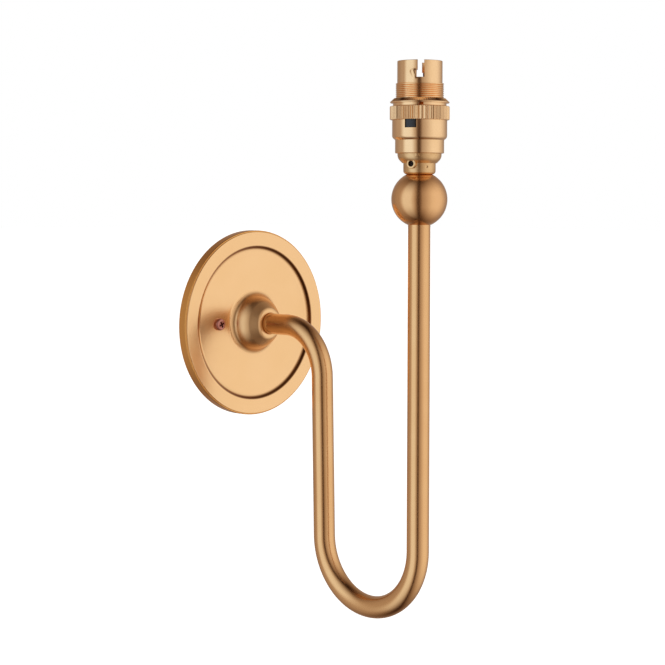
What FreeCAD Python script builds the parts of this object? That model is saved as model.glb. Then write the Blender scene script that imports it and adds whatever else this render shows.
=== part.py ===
import FreeCAD, Part
import math
import os
from FreeCAD import Vector

# A swan-neck wall lamp bracket in brass: round backplate, bent tube arm, ball and bayonet lampholder.
# Sizes are in mm. The origin is the centre of the backplate where it meets the wall.
# +Z is up, and the bracket stands out from the wall towards -Y.

# Fits between pieces
SNUG = 0.08          # radial room of screwed and brazed joints
SLIDE = 0.10         # radial room of pieces that slide
SEAT = 0.10          # air between pieces that are screwed up against each other
OVERSHOOT = 1.0      # how far a cut runs past the face that it opens

# Backplate, one spinning with its trumpet boss
PLATE_R = 54.0
PLATE_DEPTH = 5.4
PLATE_WALL = 1.0
RIM_WIDTH = 9.0
RIM_STEP = 0.3       # fine step just inside the rounded edge
RIM_STEP_IN = 2.0
EDGE_ROUND = 1.6
FIELD_DROP = 2.3     # the field lies this far behind the rim
FIELD_BEVEL = 0.9
BOSS_FOOT_R = 16.6
BOSS_FOOT_ROUND = 3.2
BOSS_SHOULDER_R = 15.0
BOSS_SHOULDER_OUT = 7.8
BOSS_SHOULDER_ROUND = 10.0
BOSS_LIP_R = 8.8
BOSS_LIP_ROUND = 1.4
BOSS_OUT = 18.0      # front of the boss from the wall
BOSS_FRONT_WALL = 3.0
TUBE_SEAT_DEPTH = 1.5

# Bent tube arm, all on centrelines
TUBE_R = 6.0
TUBE_WALL = 0.9
BACK_LIMB_OUT = 61.2   # from the wall, where the upper bend ends
LIMB_LEAN = 1.4        # degrees, the back limb leans away from the wall as it goes down
UPPER_BEND_R = 28.6
LOWER_BEND_R = 35.5
ARM_DROP = 151.3       # lowest centreline point under the plate's centre

# Threaded nipples that join tube, plate and ball
NIPPLE_R = TUBE_R - TUBE_WALL - SNUG
NIPPLE_BORE_R = 3.4
NIPPLE_IN_TUBE = 9.0
NIPPLE_TAIL = 2.0      # thread that shows past the nut
NUT_FLATS = 13.0
NUT_THICK = 3.0
NUT_SIDES = 6
LOCK_R = 7.3
LOCK_THICK = 0.8
LOCK_TEETH = 12
LOCK_TOOTH_GAP = 1.0

# Ball between tube and lampholder
BALL_R = 15.0
BALL_UP = 72.8         # ball centre above the plate's centre
BALL_SEAT_R = 6.9      # flat on top that the lampholder stands on
BALL_SOCKET_DEPTH = 6.0

# Mounting strap behind the plate, and its screws
STRAP_LENGTH = 96.0
STRAP_WIDTH = 16.0
STRAP_THICK = 1.5
STRAP_CABLE_R = 5.5
STRAP_SLOT_AT = 38.5   # wall screw slots, from the centre
STRAP_SLOT_LENGTH = 9.0
STRAP_SLOT_WIDTH = 4.5
PLATE_SCREW_AT = 27.0
PLATE_SCREW_R = 2.0
SCREW_HOLE_ROOM = 0.25
PAN_HEAD_R = 3.5
PAN_HEAD_HIGH = 2.3
PAN_HEAD_ROUND = 1.5
CROSS_LENGTH = 3.8
CROSS_WIDTH = 0.9
CROSS_DEPTH = 1.3
CROSS_TURN = 45.0      # degrees, how the two recesses stand, and how far each is off that
CROSS_TURN_OFF = 20.0
EARTH_SCREW_AT = 9.6
EARTH_SCREW_R = 1.7
EARTH_HEAD_R = 2.9
EARTH_HEAD_HIGH = 1.8
CUP_WASHER_R = 3.5
CUP_WASHER_HIGH = 0.9
SLOT_WIDTH = 0.8
SLOT_DEPTH = 0.8
FINE_SLOT_WIDTH = 0.4  # slots of the grub screw and the terminal screws

# Lampholder cap: neck and dome. Heights in the lampholder count from the ball's flat.
NECK_R = 8.65
NECK_FOOT_ROUND = 1.9
NECK_TOP = 6.0
DOME_FOOT_R = 9.2
DOME_ROUND = 4.5
DOME_R = 11.8
DOME_TOP = 11.2
CAP_WALL = 1.1
CAP_SPIGOT_R = 11.0
CAP_SPIGOT_HIGH = 3.4
CAP_THREAD_HIGH = 5.2
LUG_WIDTH = 2.4
LUG_HIGH = 1.7
LUG_TURN = -9.0        # degrees from the slot, minus is to the left seen from outside
GRUB_TURN = -29.5
GRUB_BOSS_R = 2.4
GRUB_BOSS_OUT = 10.3
GRUB_R = 1.3
GRUB_SUNK = 0.7
GRUB_LENGTH = 2.6
DIMPLE_TURN = 24.0
DIMPLE_HIGH = 4.0
DIMPLE_R = 0.75
DIMPLE_DEPTH = 0.5

# Lampholder body, a drawn shell in two steps
BODY_LOW_R = 13.1
BODY_HIGH_R = 14.7
BODY_WALL = 1.1
BODY_STEP_FROM = 17.9
BODY_STEP_TO = 20.6
BODY_STEP_ROUND = 1.6
BODY_FOOT_ROUND = 0.5
BODY_SHOULDER = 28.1   # under the knurled ring
BODY_TOP = 33.6
BODY_THREAD_R = 14.35

# Black contact block with its key in the body's notch
KEY_TURN = -17.0
KEY_WIDTH = 5.4
KEY_FROM = 25.5
KEY_R = 14.2
BLOCK_SHOULDER = 34.1
BLOCK_FLOOR = 28.5
BLOCK_SKIRT_WALL = 0.9
BLOCK_FACE = 45.0
PILLAR_SPACING = 8.6
PILLAR_R = 3.2
PILLAR_BORE_R = 2.5
PILLAR_FOOT = 22.0
PILLAR_FLOOR = 30.0
PILLAR_LIP = 1.0
TERMINAL_HIGH = 25.2
TERMINAL_SCREW_R = 1.5
TERMINAL_SCREW_LENGTH = 4.6
WIRE_HOLE_R = 1.4

# Spring contacts
PLUNGER_R = 1.9
PLUNGER_COLLAR_R = 2.35
PLUNGER_COLLAR_HIGH = 1.4
PLUNGER_TAIL_R = 1.1
PLUNGER_TAIL = 2.0
PLUNGER_STOP_ROOM = 0.2
PLUNGER_TIP_UNDER_RIM = 11.9
SPRING_WIRE_R = 0.28
SPRING_TURNS = 7

# Bayonet barrel
RIM_TOP = 60.6
BARREL_R = 12.1
BARREL_BORE_R = 11.2
BARREL_BORE_LENGTH = 11.6
THREAD_R = 12.86
THREAD_TOP = 48.5
THREAD_BORE_R = 11.95
FLANGE_R = 14.1
FLANGE_THICK = 1.1
J_SLOT_WIDTH = 3.7
J_SLOT_DEPTH = 9.2
HOOK_OPEN = 0.85
HOOK_TURN = -18.0      # middle of the pressed hook, from the slot
HOOK_RUN = 3.6
HOOK_RISE = 1.6
HOOK_MID_DEPTH = 6.6
HOOK_R = 1.75
HOOK_PROUD = 0.5
HOOK_POCKET_R = 1.3
HOOK_POCKET_DEPTH = 0.6

# Knurled ring that clamps the barrel to the body
RING_R = 16.0
RING_TOP = 36.4
RING_LIP = 1.1
RING_ROUND = 0.5
KNURL_COUNT = 96
KNURL_DEPTH = 0.3

# Shade ring on the barrel's thread
SHADE_HUB_R = 14.3
SHADE_HUB_HIGH = 1.5
SHADE_RING_R = 15.85
SHADE_RIM_HIGH = 1.3
SHADE_RIM_ROUND = 0.3
SHADE_CONE_HIGH = 1.3
SHADE_CONE_IN = 0.4      # flat of the rim outside the cone
SHADE_CONE_LAND = 0.75   # width of the cone's top
SHADE_NOTCH_WIDTH = 2.4
SERRATION_COUNT = 72
SERRATION_DEPTH = 0.35

# The slot of the lampholder faces halfway between the wall's left and straight out
SLOT_HEADING = 225.0

# Places worked out from the sizes above
BALL_SEAT_UP = math.sqrt(BALL_R ** 2 - BALL_SEAT_R ** 2)
SEAT_Z = BALL_UP + BALL_SEAT_UP
FIELD_OUT = PLATE_DEPTH - FIELD_DROP
RIM_IN_R = PLATE_R - RIM_WIDTH
TUBE_START = BOSS_OUT - TUBE_SEAT_DEPTH
NIPPLE_HOLE_R = NIPPLE_R + SNUG
BOSS_INSIDE = BOSS_OUT - BOSS_FRONT_WALL
LEAN = math.radians(LIMB_LEAN)


def arm_stations():
    """Corners of the arm's centreline: bend starts, ends and middles, as (out, up)."""
    lean_turn = math.pi / 2 - LEAN
    first = (BACK_LIMB_OUT - UPPER_BEND_R, 0.0)
    first_mid = (first[0] + UPPER_BEND_R * math.sin(lean_turn / 2),
                 -UPPER_BEND_R * (1 - math.cos(lean_turn / 2)))
    first_end = (first[0] + UPPER_BEND_R * math.sin(lean_turn),
                 -UPPER_BEND_R * (1 - math.cos(lean_turn)))
    low_centre_up = -ARM_DROP + LOWER_BEND_R
    second_up = low_centre_up - LOWER_BEND_R * math.sin(LEAN)
    second = (first_end[0] + (first_end[1] - second_up) * math.tan(LEAN), second_up)
    low_centre_out = second[0] + LOWER_BEND_R * math.cos(LEAN)
    second_mid = (low_centre_out, -ARM_DROP)
    front_out = low_centre_out + LOWER_BEND_R
    second_end = (front_out, low_centre_up)
    return first, first_mid, first_end, second, second_mid, second_end


FRONT_OUT = arm_stations()[-1][0]
TUBE_TOP = BALL_UP - BALL_SEAT_UP + BALL_SOCKET_DEPTH


def corner_round(before, corner, after, radius):
    """Start, middle and end of the arc that rounds a corner between two straight lines."""
    to_before = (before - corner).normalize()
    to_after = (after - corner).normalize()
    half = to_before.getAngle(to_after) / 2
    back = radius / math.tan(half)
    centre_way = (to_before + to_after).normalize()
    centre = corner + centre_way * (radius / math.sin(half))
    return corner + to_before * back, centre - centre_way * radius, corner + to_after * back


def outline(corners):
    """Closed face in the XZ plane. A corner is (across, up) or (across, up, rounding)."""
    points = [Vector(corner[0], 0, corner[1]) for corner in corners]
    edges = []
    ends = []
    for index, corner in enumerate(corners):
        if len(corner) == 2:
            ends.append((points[index], points[index]))
            continue
        following = points[(index + 1) % len(points)]
        start, middle, end = corner_round(points[index - 1], points[index], following, corner[2])
        edges.append(Part.Arc(start, middle, end).toShape())
        ends.append((start, end))
    for index, (_, leaving) in enumerate(ends):
        arriving = ends[(index + 1) % len(ends)][0]
        if leaving.distanceToPoint(arriving) > 1e-6:
            edges.append(Part.LineSegment(leaving, arriving).toShape())
    return Part.Face(Part.Wire(Part.__sortEdges__(edges)))


def turned(corners):
    """Solid of revolution about Z from a half section."""
    return outline(corners).revolve(Vector(0, 0, 0), Vector(0, 0, 1), 360)


def tube_along_z(outer, inner, low, high):
    """Plain hollow cylinder about Z."""
    return turned([(inner, low), (outer, low), (outer, high), (inner, high)])


def rod(radius, low, high, across=0.0):
    """Solid cylinder along Z, moved sideways along X."""
    return Part.makeCylinder(radius, high - low, Vector(across, 0, low))


def rod_along_x(radius, start, end, high):
    """Solid cylinder along X at a height."""
    return Part.makeCylinder(radius, end - start, Vector(start, 0, high), Vector(1, 0, 0))


def block(across, deep, low, high, start=0.0):
    """Box with one face at X = start, centred on Y."""
    return Part.makeBox(across, deep, high - low, Vector(start, -deep / 2, low))


def about_z(shape, degrees):
    """Copy turned about the Z axis."""
    copy = shape.copy()
    copy.rotate(Vector(0, 0, 0), Vector(0, 0, 1), degrees)
    return copy


def onto_wall(shape):
    """Copy with its +Z axis laid along the way out from the wall."""
    copy = shape.copy()
    copy.rotate(Vector(0, 0, 0), Vector(1, 0, 0), 90)
    return copy


def onto_ball(shape):
    """Copy of a lampholder piece, turned to face the slot's way and set on the ball."""
    copy = about_z(shape, SLOT_HEADING)
    copy.translate(Vector(0, -FRONT_OUT, SEAT_Z))
    return copy


def moved(shape, across, deep=0.0, up=0.0):
    """Copy moved by a distance."""
    copy = shape.copy()
    copy.translate(Vector(across, deep, up))
    return copy


def ring_of_corners(crest, root, count, up):
    """Closed wire of straight lines whose corners lie on two radii in turn."""
    points = []
    for index in range(count):
        radius = root if index % 2 else crest
        angle = 2 * math.pi * index / count
        points.append(Vector(radius * math.cos(angle), radius * math.sin(angle), up))
    return Part.makePolygon(points + points[:1])


def backplate():
    """Spun plate: rounded and stepped rim, sunk field, trumpet boss with the tube's seat."""
    inner_wall_r = BOSS_LIP_R - PLATE_WALL
    plate = turned([
        (PLATE_R, 0),
        (PLATE_R, PLATE_DEPTH - RIM_STEP, EDGE_ROUND),
        (PLATE_R - RIM_STEP_IN, PLATE_DEPTH - RIM_STEP),
        (PLATE_R - RIM_STEP_IN, PLATE_DEPTH),
        (RIM_IN_R, PLATE_DEPTH, RIM_STEP),
        (RIM_IN_R - FIELD_BEVEL, FIELD_OUT, RIM_STEP),
        (BOSS_FOOT_R, FIELD_OUT, BOSS_FOOT_ROUND),
        (BOSS_SHOULDER_R, BOSS_SHOULDER_OUT, BOSS_SHOULDER_ROUND),
        (BOSS_LIP_R, BOSS_OUT, BOSS_LIP_ROUND),
        (TUBE_R + SNUG, BOSS_OUT),
        (TUBE_R + SNUG, TUBE_START),
        (NIPPLE_HOLE_R, TUBE_START),
        (NIPPLE_HOLE_R, BOSS_INSIDE),
        (inner_wall_r, BOSS_INSIDE),
        (BOSS_SHOULDER_R - PLATE_WALL, BOSS_SHOULDER_OUT - PLATE_WALL / 2),
        (BOSS_FOOT_R - PLATE_WALL, FIELD_OUT - PLATE_WALL),
        (RIM_IN_R - FIELD_BEVEL + PLATE_WALL, FIELD_OUT - PLATE_WALL),
        (RIM_IN_R + PLATE_WALL, PLATE_DEPTH - PLATE_WALL),
        (PLATE_R - 2 * PLATE_WALL, PLATE_DEPTH - PLATE_WALL - RIM_STEP),
        (PLATE_R - PLATE_WALL, PLATE_DEPTH - 2 * PLATE_WALL - RIM_STEP),
        (PLATE_R - PLATE_WALL, 0),
    ])
    for side in (-1, 1):
        plate = plate.cut(rod(PLATE_SCREW_R + SCREW_HOLE_ROOM, 0, PLATE_DEPTH, side * PLATE_SCREW_AT))
    return onto_wall(plate)


def mounting_strap():
    """Flat steel strap that the plate is screwed to, with slots for the wall screws."""
    end_r = STRAP_WIDTH / 2
    strap = block(STRAP_LENGTH - STRAP_WIDTH, STRAP_WIDTH, 0, STRAP_THICK, end_r - STRAP_LENGTH / 2)
    strap = strap.cut(rod(STRAP_CABLE_R, 0, STRAP_THICK))
    slot_r = STRAP_SLOT_WIDTH / 2
    slot_run = STRAP_SLOT_LENGTH - STRAP_SLOT_WIDTH
    for side in (-1, 1):
        strap = strap.fuse(rod(end_r, 0, STRAP_THICK, side * (STRAP_LENGTH / 2 - end_r)))
    for side in (-1, 1):
        slot = block(slot_run, STRAP_SLOT_WIDTH, 0, STRAP_THICK, side * STRAP_SLOT_AT - slot_run / 2)
        for end in (-1, 1):
            slot = slot.fuse(rod(slot_r, 0, STRAP_THICK, side * STRAP_SLOT_AT + end * slot_run / 2))
        strap = strap.cut(slot)
        strap = strap.cut(rod(PLATE_SCREW_R + SNUG, 0, STRAP_THICK, side * PLATE_SCREW_AT))
    strap = strap.cut(rod(EARTH_SCREW_R + SNUG, 0, STRAP_THICK, EARTH_SCREW_AT))
    return onto_wall(strap.removeSplitter())


def plate_screws():
    """Two pan head screws with cross recesses, from the field into the strap."""
    top = FIELD_OUT + PAN_HEAD_HIGH
    screw = turned([
        (0, 0),
        (PLATE_SCREW_R, 0),
        (PLATE_SCREW_R, FIELD_OUT),
        (PAN_HEAD_R, FIELD_OUT),
        (PAN_HEAD_R, top, PAN_HEAD_ROUND),
        (0, top),
    ])
    for bar in ((CROSS_LENGTH, CROSS_WIDTH), (CROSS_WIDTH, CROSS_LENGTH)):
        screw = screw.cut(block(bar[0], bar[1], top - CROSS_DEPTH, top, -bar[0] / 2))
    pair = []
    for side in (-1, 1):
        pair.append(moved(about_z(screw, CROSS_TURN + CROSS_TURN_OFF * side), side * PLATE_SCREW_AT))
    return onto_wall(Part.makeCompound(pair))


def earth_washer():
    """Cup washer that holds an earth wire against the strap."""
    washer = turned([
        (EARTH_SCREW_R + SNUG, STRAP_THICK),
        (CUP_WASHER_R, STRAP_THICK),
        (CUP_WASHER_R, STRAP_THICK + CUP_WASHER_HIGH),
        (EARTH_HEAD_R + SNUG, STRAP_THICK + CUP_WASHER_HIGH),
        (EARTH_HEAD_R + SNUG, STRAP_THICK + CUP_WASHER_HIGH / 2),
        (EARTH_SCREW_R + SNUG, STRAP_THICK + CUP_WASHER_HIGH / 2),
    ])
    return onto_wall(moved(washer, EARTH_SCREW_AT))


def earth_screw():
    """Slotted cheese head screw through the cup washer."""
    seat = STRAP_THICK + CUP_WASHER_HIGH / 2
    top = seat + EARTH_HEAD_HIGH
    screw = turned([
        (0, 0), (EARTH_SCREW_R, 0), (EARTH_SCREW_R, seat),
        (EARTH_HEAD_R, seat), (EARTH_HEAD_R, top, SLOT_DEPTH / 2), (0, top),
    ])
    screw = screw.cut(block(2 * EARTH_HEAD_R, SLOT_WIDTH, top - SLOT_DEPTH, top, -EARTH_HEAD_R))
    return onto_wall(moved(screw, EARTH_SCREW_AT))


def arm_tube():
    """Bent tube: out from the plate, down, round the U and up into the ball."""
    first, first_mid, first_end, second, second_mid, second_end = [
        Vector(0, -out, up) for out, up in arm_stations()]
    start = Vector(0, -TUBE_START, 0)
    top = Vector(0, -FRONT_OUT, TUBE_TOP)
    path = Part.Wire([
        Part.LineSegment(start, first).toShape(),
        Part.Arc(first, first_mid, first_end).toShape(),
        Part.LineSegment(first_end, second).toShape(),
        Part.Arc(second, second_mid, second_end).toShape(),
        Part.LineSegment(second_end, top).toShape(),
    ])
    swept = []
    for radius in (TUBE_R, TUBE_R - TUBE_WALL):
        section = Part.Wire([Part.makeCircle(radius, start, Vector(0, -1, 0))])
        swept.append(path.makePipeShell([section], True, False))
    return swept[0].cut(swept[1])


def wall_nipple():
    """Threaded hollow nipple brazed into the tube and passed through the boss."""
    tail = BOSS_INSIDE - LOCK_THICK - NUT_THICK - NIPPLE_TAIL
    return onto_wall(tube_along_z(NIPPLE_R, NIPPLE_BORE_R, tail, TUBE_START + NIPPLE_IN_TUBE))


def lock_washer():
    """Toothed washer between the boss and the nut."""
    low = BOSS_INSIDE - LOCK_THICK
    washer = tube_along_z(LOCK_R, NIPPLE_HOLE_R, low, BOSS_INSIDE)
    root = (LOCK_R + NIPPLE_HOLE_R) / 2
    gap = block(LOCK_R - root + OVERSHOOT, LOCK_TOOTH_GAP, low, BOSS_INSIDE, root)
    for index in range(LOCK_TEETH):
        washer = washer.cut(about_z(gap, 360 * index / LOCK_TEETH))
    return onto_wall(washer)


def hex_nut():
    """Thin hexagon nut with both corners chamfered, inside the boss."""
    high = BOSS_INSIDE - LOCK_THICK
    low = high - NUT_THICK
    corner_r = NUT_FLATS / math.sqrt(3)
    chamfer = corner_r - NUT_FLATS / 2
    hexagon = Part.Face(ring_of_corners(corner_r, corner_r, NUT_SIDES, low))
    prism = hexagon.extrude(Vector(0, 0, NUT_THICK))
    blank = turned([
        (NIPPLE_HOLE_R, low), (NUT_FLATS / 2, low), (corner_r, low + chamfer / 2),
        (corner_r, high - chamfer / 2), (NUT_FLATS / 2, high), (NIPPLE_HOLE_R, high),
    ])
    return onto_wall(prism.common(blank))


def top_nipple():
    """Threaded hollow nipple from the tube's end through the ball into the lampholder."""
    low = TUBE_TOP - NIPPLE_IN_TUBE
    nipple = tube_along_z(NIPPLE_R, NIPPLE_BORE_R, low, SEAT_Z + CAP_THREAD_HIGH)
    return moved(nipple, 0, -FRONT_OUT)


def ball():
    """Turned ball, bored for the nipple, counterbored for the tube and faced for the cap."""
    sphere = Part.makeSphere(BALL_R)
    socket_top = BALL_SOCKET_DEPTH - BALL_SEAT_UP
    sphere = sphere.cut(rod(2 * BALL_R, BALL_SEAT_UP, 2 * BALL_R))
    sphere = sphere.cut(rod(TUBE_R + SNUG, -BALL_R, socket_top))
    sphere = sphere.cut(rod(NIPPLE_HOLE_R, -BALL_R, BALL_R))
    return moved(sphere, 0, -FRONT_OUT, BALL_UP)


def holder_cap():
    """Cap of the lampholder: rounded neck, dome, screw boss, lug and a spigot for the body."""
    spigot_top = DOME_TOP + CAP_SPIGOT_HIGH
    cap = turned([
        (NIPPLE_HOLE_R, 0),
        (NECK_R, 0, NECK_FOOT_ROUND),
        (NECK_R, NECK_TOP),
        (DOME_FOOT_R, NECK_TOP),
        (DOME_R, NECK_TOP + (DOME_R - DOME_FOOT_R), DOME_ROUND),
        (DOME_R, DOME_TOP),
        (CAP_SPIGOT_R, DOME_TOP),
        (CAP_SPIGOT_R, spigot_top),
        (CAP_SPIGOT_R - CAP_WALL, spigot_top),
        (CAP_SPIGOT_R - CAP_WALL, NECK_TOP + (DOME_R - DOME_FOOT_R)),
        (DOME_FOOT_R - 2 * CAP_WALL, CAP_THREAD_HIGH + CAP_WALL),
        (NIPPLE_HOLE_R, CAP_THREAD_HIGH + CAP_WALL),
    ])
    hollow_r = NIPPLE_HOLE_R + CAP_WALL
    boss = rod_along_x(GRUB_BOSS_R, hollow_r, GRUB_BOSS_OUT, NECK_TOP)
    cap = cap.fuse(about_z(boss, GRUB_TURN))
    lug_out = DOME_R + BODY_FOOT_ROUND - CAP_SPIGOT_R
    lug = block(lug_out, LUG_WIDTH, DOME_TOP - LUG_HIGH, DOME_TOP, CAP_SPIGOT_R)
    cap = cap.fuse(about_z(lug, LUG_TURN))
    hole = rod_along_x(GRUB_R + SNUG, NIPPLE_HOLE_R - OVERSHOOT, GRUB_BOSS_OUT, NECK_TOP)
    cap = cap.cut(about_z(hole, GRUB_TURN))
    dimple = rod_along_x(DIMPLE_R, NECK_R - DIMPLE_DEPTH, NECK_R + OVERSHOOT, DIMPLE_HIGH)
    cap = cap.cut(about_z(dimple, DIMPLE_TURN))
    return onto_ball(cap.removeSplitter())


def slotted_rod(radius, start, end, high):
    """Headless screw along X with a level slot across its outer end."""
    slot_low = high - FINE_SLOT_WIDTH / 2
    slot = block(SLOT_DEPTH, 2 * radius, slot_low, slot_low + FINE_SLOT_WIDTH, end - SLOT_DEPTH)
    return rod_along_x(radius, start, end, high).cut(slot)


def cap_grub_screw():
    """Slotted grub screw that locks the cap on its nipple."""
    end = GRUB_BOSS_OUT - GRUB_SUNK
    return onto_ball(about_z(slotted_rod(GRUB_R, end - GRUB_LENGTH, end, NECK_TOP), GRUB_TURN))


def holder_body():
    """Two-step drawn shell with an outside thread at its mouth and a notch for the key."""
    low_bore = BODY_LOW_R - BODY_WALL
    high_bore = BODY_HIGH_R - BODY_WALL
    shell = turned([
        (CAP_SPIGOT_R + SNUG, DOME_TOP),
        (BODY_LOW_R, DOME_TOP, BODY_FOOT_ROUND),
        (BODY_LOW_R, BODY_STEP_FROM, BODY_STEP_ROUND / 4),
        (BODY_HIGH_R, BODY_STEP_TO, BODY_STEP_ROUND),
        (BODY_HIGH_R, BODY_SHOULDER),
        (BODY_THREAD_R, BODY_SHOULDER),
        (BODY_THREAD_R, BODY_TOP),
        (high_bore, BODY_TOP),
        (high_bore, BODY_STEP_TO),
        (low_bore, BODY_STEP_TO),
        (low_bore, DOME_TOP + BODY_WALL),
        (CAP_SPIGOT_R + SNUG, DOME_TOP + BODY_WALL),
    ])
    notch = block(BODY_HIGH_R, KEY_WIDTH + 2 * SNUG, KEY_FROM - SNUG, BODY_TOP)
    return onto_ball(shell.cut(about_z(notch, KEY_TURN)))


def contact_block():
    """Black moulding: skirt on the body's step, key in the notch, bores for the pillars."""
    skirt_r = BODY_HIGH_R - BODY_WALL - SLIDE
    moulding = turned([
        (skirt_r - BLOCK_SKIRT_WALL, BODY_STEP_TO),
        (skirt_r, BODY_STEP_TO),
        (skirt_r, BLOCK_SHOULDER),
        (THREAD_BORE_R - SLIDE, BLOCK_SHOULDER),
        (THREAD_BORE_R - SLIDE, BLOCK_FACE, SLOT_DEPTH),
        (0, BLOCK_FACE),
        (0, BLOCK_FLOOR),
        (skirt_r - BLOCK_SKIRT_WALL, BLOCK_FLOOR),
    ])
    key = block(KEY_R, KEY_WIDTH, KEY_FROM, BODY_TOP)
    key = key.cut(rod(skirt_r - BLOCK_SKIRT_WALL, 0, BLOCK_SHOULDER))
    key = key.common(rod(KEY_R, 0, BLOCK_SHOULDER))
    moulding = moulding.fuse(about_z(key, KEY_TURN))
    for side in (-1, 1):
        pillar_bore = rod(PILLAR_R + SNUG, BLOCK_FLOOR, BLOCK_FACE, side * PILLAR_SPACING / 2)
        moulding = moulding.cut(about_z(pillar_bore, 90))
    return onto_ball(moulding.removeSplitter())


def terminal_pillars():
    """Two brass pillars: a lipped bore for the spring contact, and a cross hole for the wire."""
    pillar = turned([
        (0, PILLAR_FOOT), (PILLAR_R, PILLAR_FOOT), (PILLAR_R, BLOCK_FACE),
        (PLUNGER_R + SLIDE, BLOCK_FACE), (PLUNGER_R + SLIDE, BLOCK_FACE - PILLAR_LIP),
        (PILLAR_BORE_R, BLOCK_FACE - PILLAR_LIP), (PILLAR_BORE_R, PILLAR_FLOOR), (0, PILLAR_FLOOR),
    ])
    wire_hole = rod(WIRE_HOLE_R, PILLAR_FOOT, TERMINAL_HIGH + WIRE_HOLE_R)
    pillar = pillar.cut(wire_hole)
    pillar = pillar.cut(rod_along_x(TERMINAL_SCREW_R + SNUG, 0, PILLAR_R, TERMINAL_HIGH))
    pair = [about_z(moved(pillar, PILLAR_SPACING / 2), turn) for turn in (90, -90)]
    return onto_ball(Part.makeCompound(pair))


def terminal_screws():
    """Two slotted screws that clamp the wires in the pillars."""
    start = PILLAR_SPACING / 2 + WIRE_HOLE_R
    screw = slotted_rod(TERMINAL_SCREW_R, start, start + TERMINAL_SCREW_LENGTH, TERMINAL_HIGH)
    pair = [about_z(screw, turn) for turn in (90, -90)]
    return onto_ball(Part.makeCompound(pair))


COLLAR_TOP = BLOCK_FACE - PILLAR_LIP - PLUNGER_STOP_ROOM
COLLAR_FOOT = COLLAR_TOP - PLUNGER_COLLAR_HIGH


def contact_plunger(turn):
    """Spring contact with a domed tip, a collar under the pillar's lip and a tail."""
    tip = RIM_TOP - PLUNGER_TIP_UNDER_RIM
    plunger = turned([
        (0, COLLAR_FOOT - PLUNGER_TAIL),
        (PLUNGER_TAIL_R, COLLAR_FOOT - PLUNGER_TAIL),
        (PLUNGER_TAIL_R, COLLAR_FOOT),
        (PLUNGER_COLLAR_R, COLLAR_FOOT),
        (PLUNGER_COLLAR_R, COLLAR_TOP),
        (PLUNGER_R, COLLAR_TOP),
        (PLUNGER_R, tip, PLUNGER_R / 2),
        (0, tip),
    ])
    return onto_ball(about_z(moved(plunger, PILLAR_SPACING / 2), turn))


def plunger_spring(turn):
    """Coil spring from the pillar's floor to the contact's collar."""
    coil_r = PILLAR_BORE_R - SLIDE - SPRING_WIRE_R
    low = PILLAR_FLOOR + SPRING_WIRE_R
    high = COLLAR_FOOT - SPRING_WIRE_R
    pitch = (high - low) / SPRING_TURNS
    helix = Part.makeHelix(pitch, high - low, coil_r)
    wire_way = Vector(0, 2 * math.pi * coil_r, pitch)
    section = Part.Wire([Part.makeCircle(SPRING_WIRE_R, Vector(coil_r, 0, 0), wire_way)])
    coil = Part.Wire(helix.Edges).makePipeShell([section], True, True)
    return onto_ball(about_z(moved(coil, PILLAR_SPACING / 2, 0, low), turn))


def hook_shape(radius, inner, outer):
    """Slanted round-ended bar pressed through the barrel's wall between two radii."""
    middle = RIM_TOP - HOOK_MID_DEPTH
    ends = []
    for side in (-1, 1):
        ends.append(Vector(inner, -side * HOOK_RUN / 2, middle - side * HOOK_RISE / 2))
    along = (ends[1] - ends[0]).normalize()
    offset = along.cross(Vector(1, 0, 0)) * radius
    corners = [ends[0] + offset, ends[1] + offset, ends[1] - offset, ends[0] - offset]
    bar = Part.Face(Part.makePolygon(corners + corners[:1])).extrude(Vector(outer - inner, 0, 0))
    for end in ends:
        bar = bar.fuse(Part.makeCylinder(radius, outer - inner, end, Vector(1, 0, 0)))
    return bar


def bayonet_barrel():
    """Barrel with two J slots: open legs, and hooks pressed outwards beside them."""
    bore_end = RIM_TOP - BARREL_BORE_LENGTH
    flange_top = RING_TOP - RING_LIP
    barrel = turned([
        (BARREL_BORE_R, RIM_TOP),
        (BARREL_R, RIM_TOP),
        (BARREL_R, THREAD_TOP),
        (THREAD_R, THREAD_TOP),
        (THREAD_R, flange_top),
        (FLANGE_R, flange_top),
        (FLANGE_R, flange_top - FLANGE_THICK),
        (THREAD_BORE_R, flange_top - FLANGE_THICK),
        (THREAD_BORE_R, bore_end),
        (BARREL_BORE_R, bore_end),
    ])
    slot_foot = RIM_TOP - J_SLOT_DEPTH
    pocket_r = BARREL_BORE_R + HOOK_POCKET_DEPTH
    pad = hook_shape(HOOK_R, 0, 2 * BARREL_R)
    pad = pad.common(tube_along_z(BARREL_R + HOOK_PROUD, pocket_r, slot_foot, RIM_TOP))
    pocket = hook_shape(HOOK_POCKET_R, 0, 2 * BARREL_R)
    pocket = pocket.common(rod(pocket_r, 0, RIM_TOP))
    leg = block(2 * BARREL_R, J_SLOT_WIDTH, slot_foot, RIM_TOP)
    mouth_side = J_SLOT_WIDTH / 2 + HOOK_OPEN
    mouth = Part.makeBox(2 * BARREL_R, mouth_side, J_SLOT_WIDTH, Vector(0, -mouth_side, slot_foot))
    for turn in (0, 180):
        barrel = barrel.fuse(about_z(pad, turn + HOOK_TURN))
    for turn in (0, 180):
        barrel = barrel.cut(about_z(pocket, turn + HOOK_TURN))
        barrel = barrel.cut(about_z(leg, turn))
        barrel = barrel.cut(about_z(mouth, turn))
    return onto_ball(barrel.removeSplitter())


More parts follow.
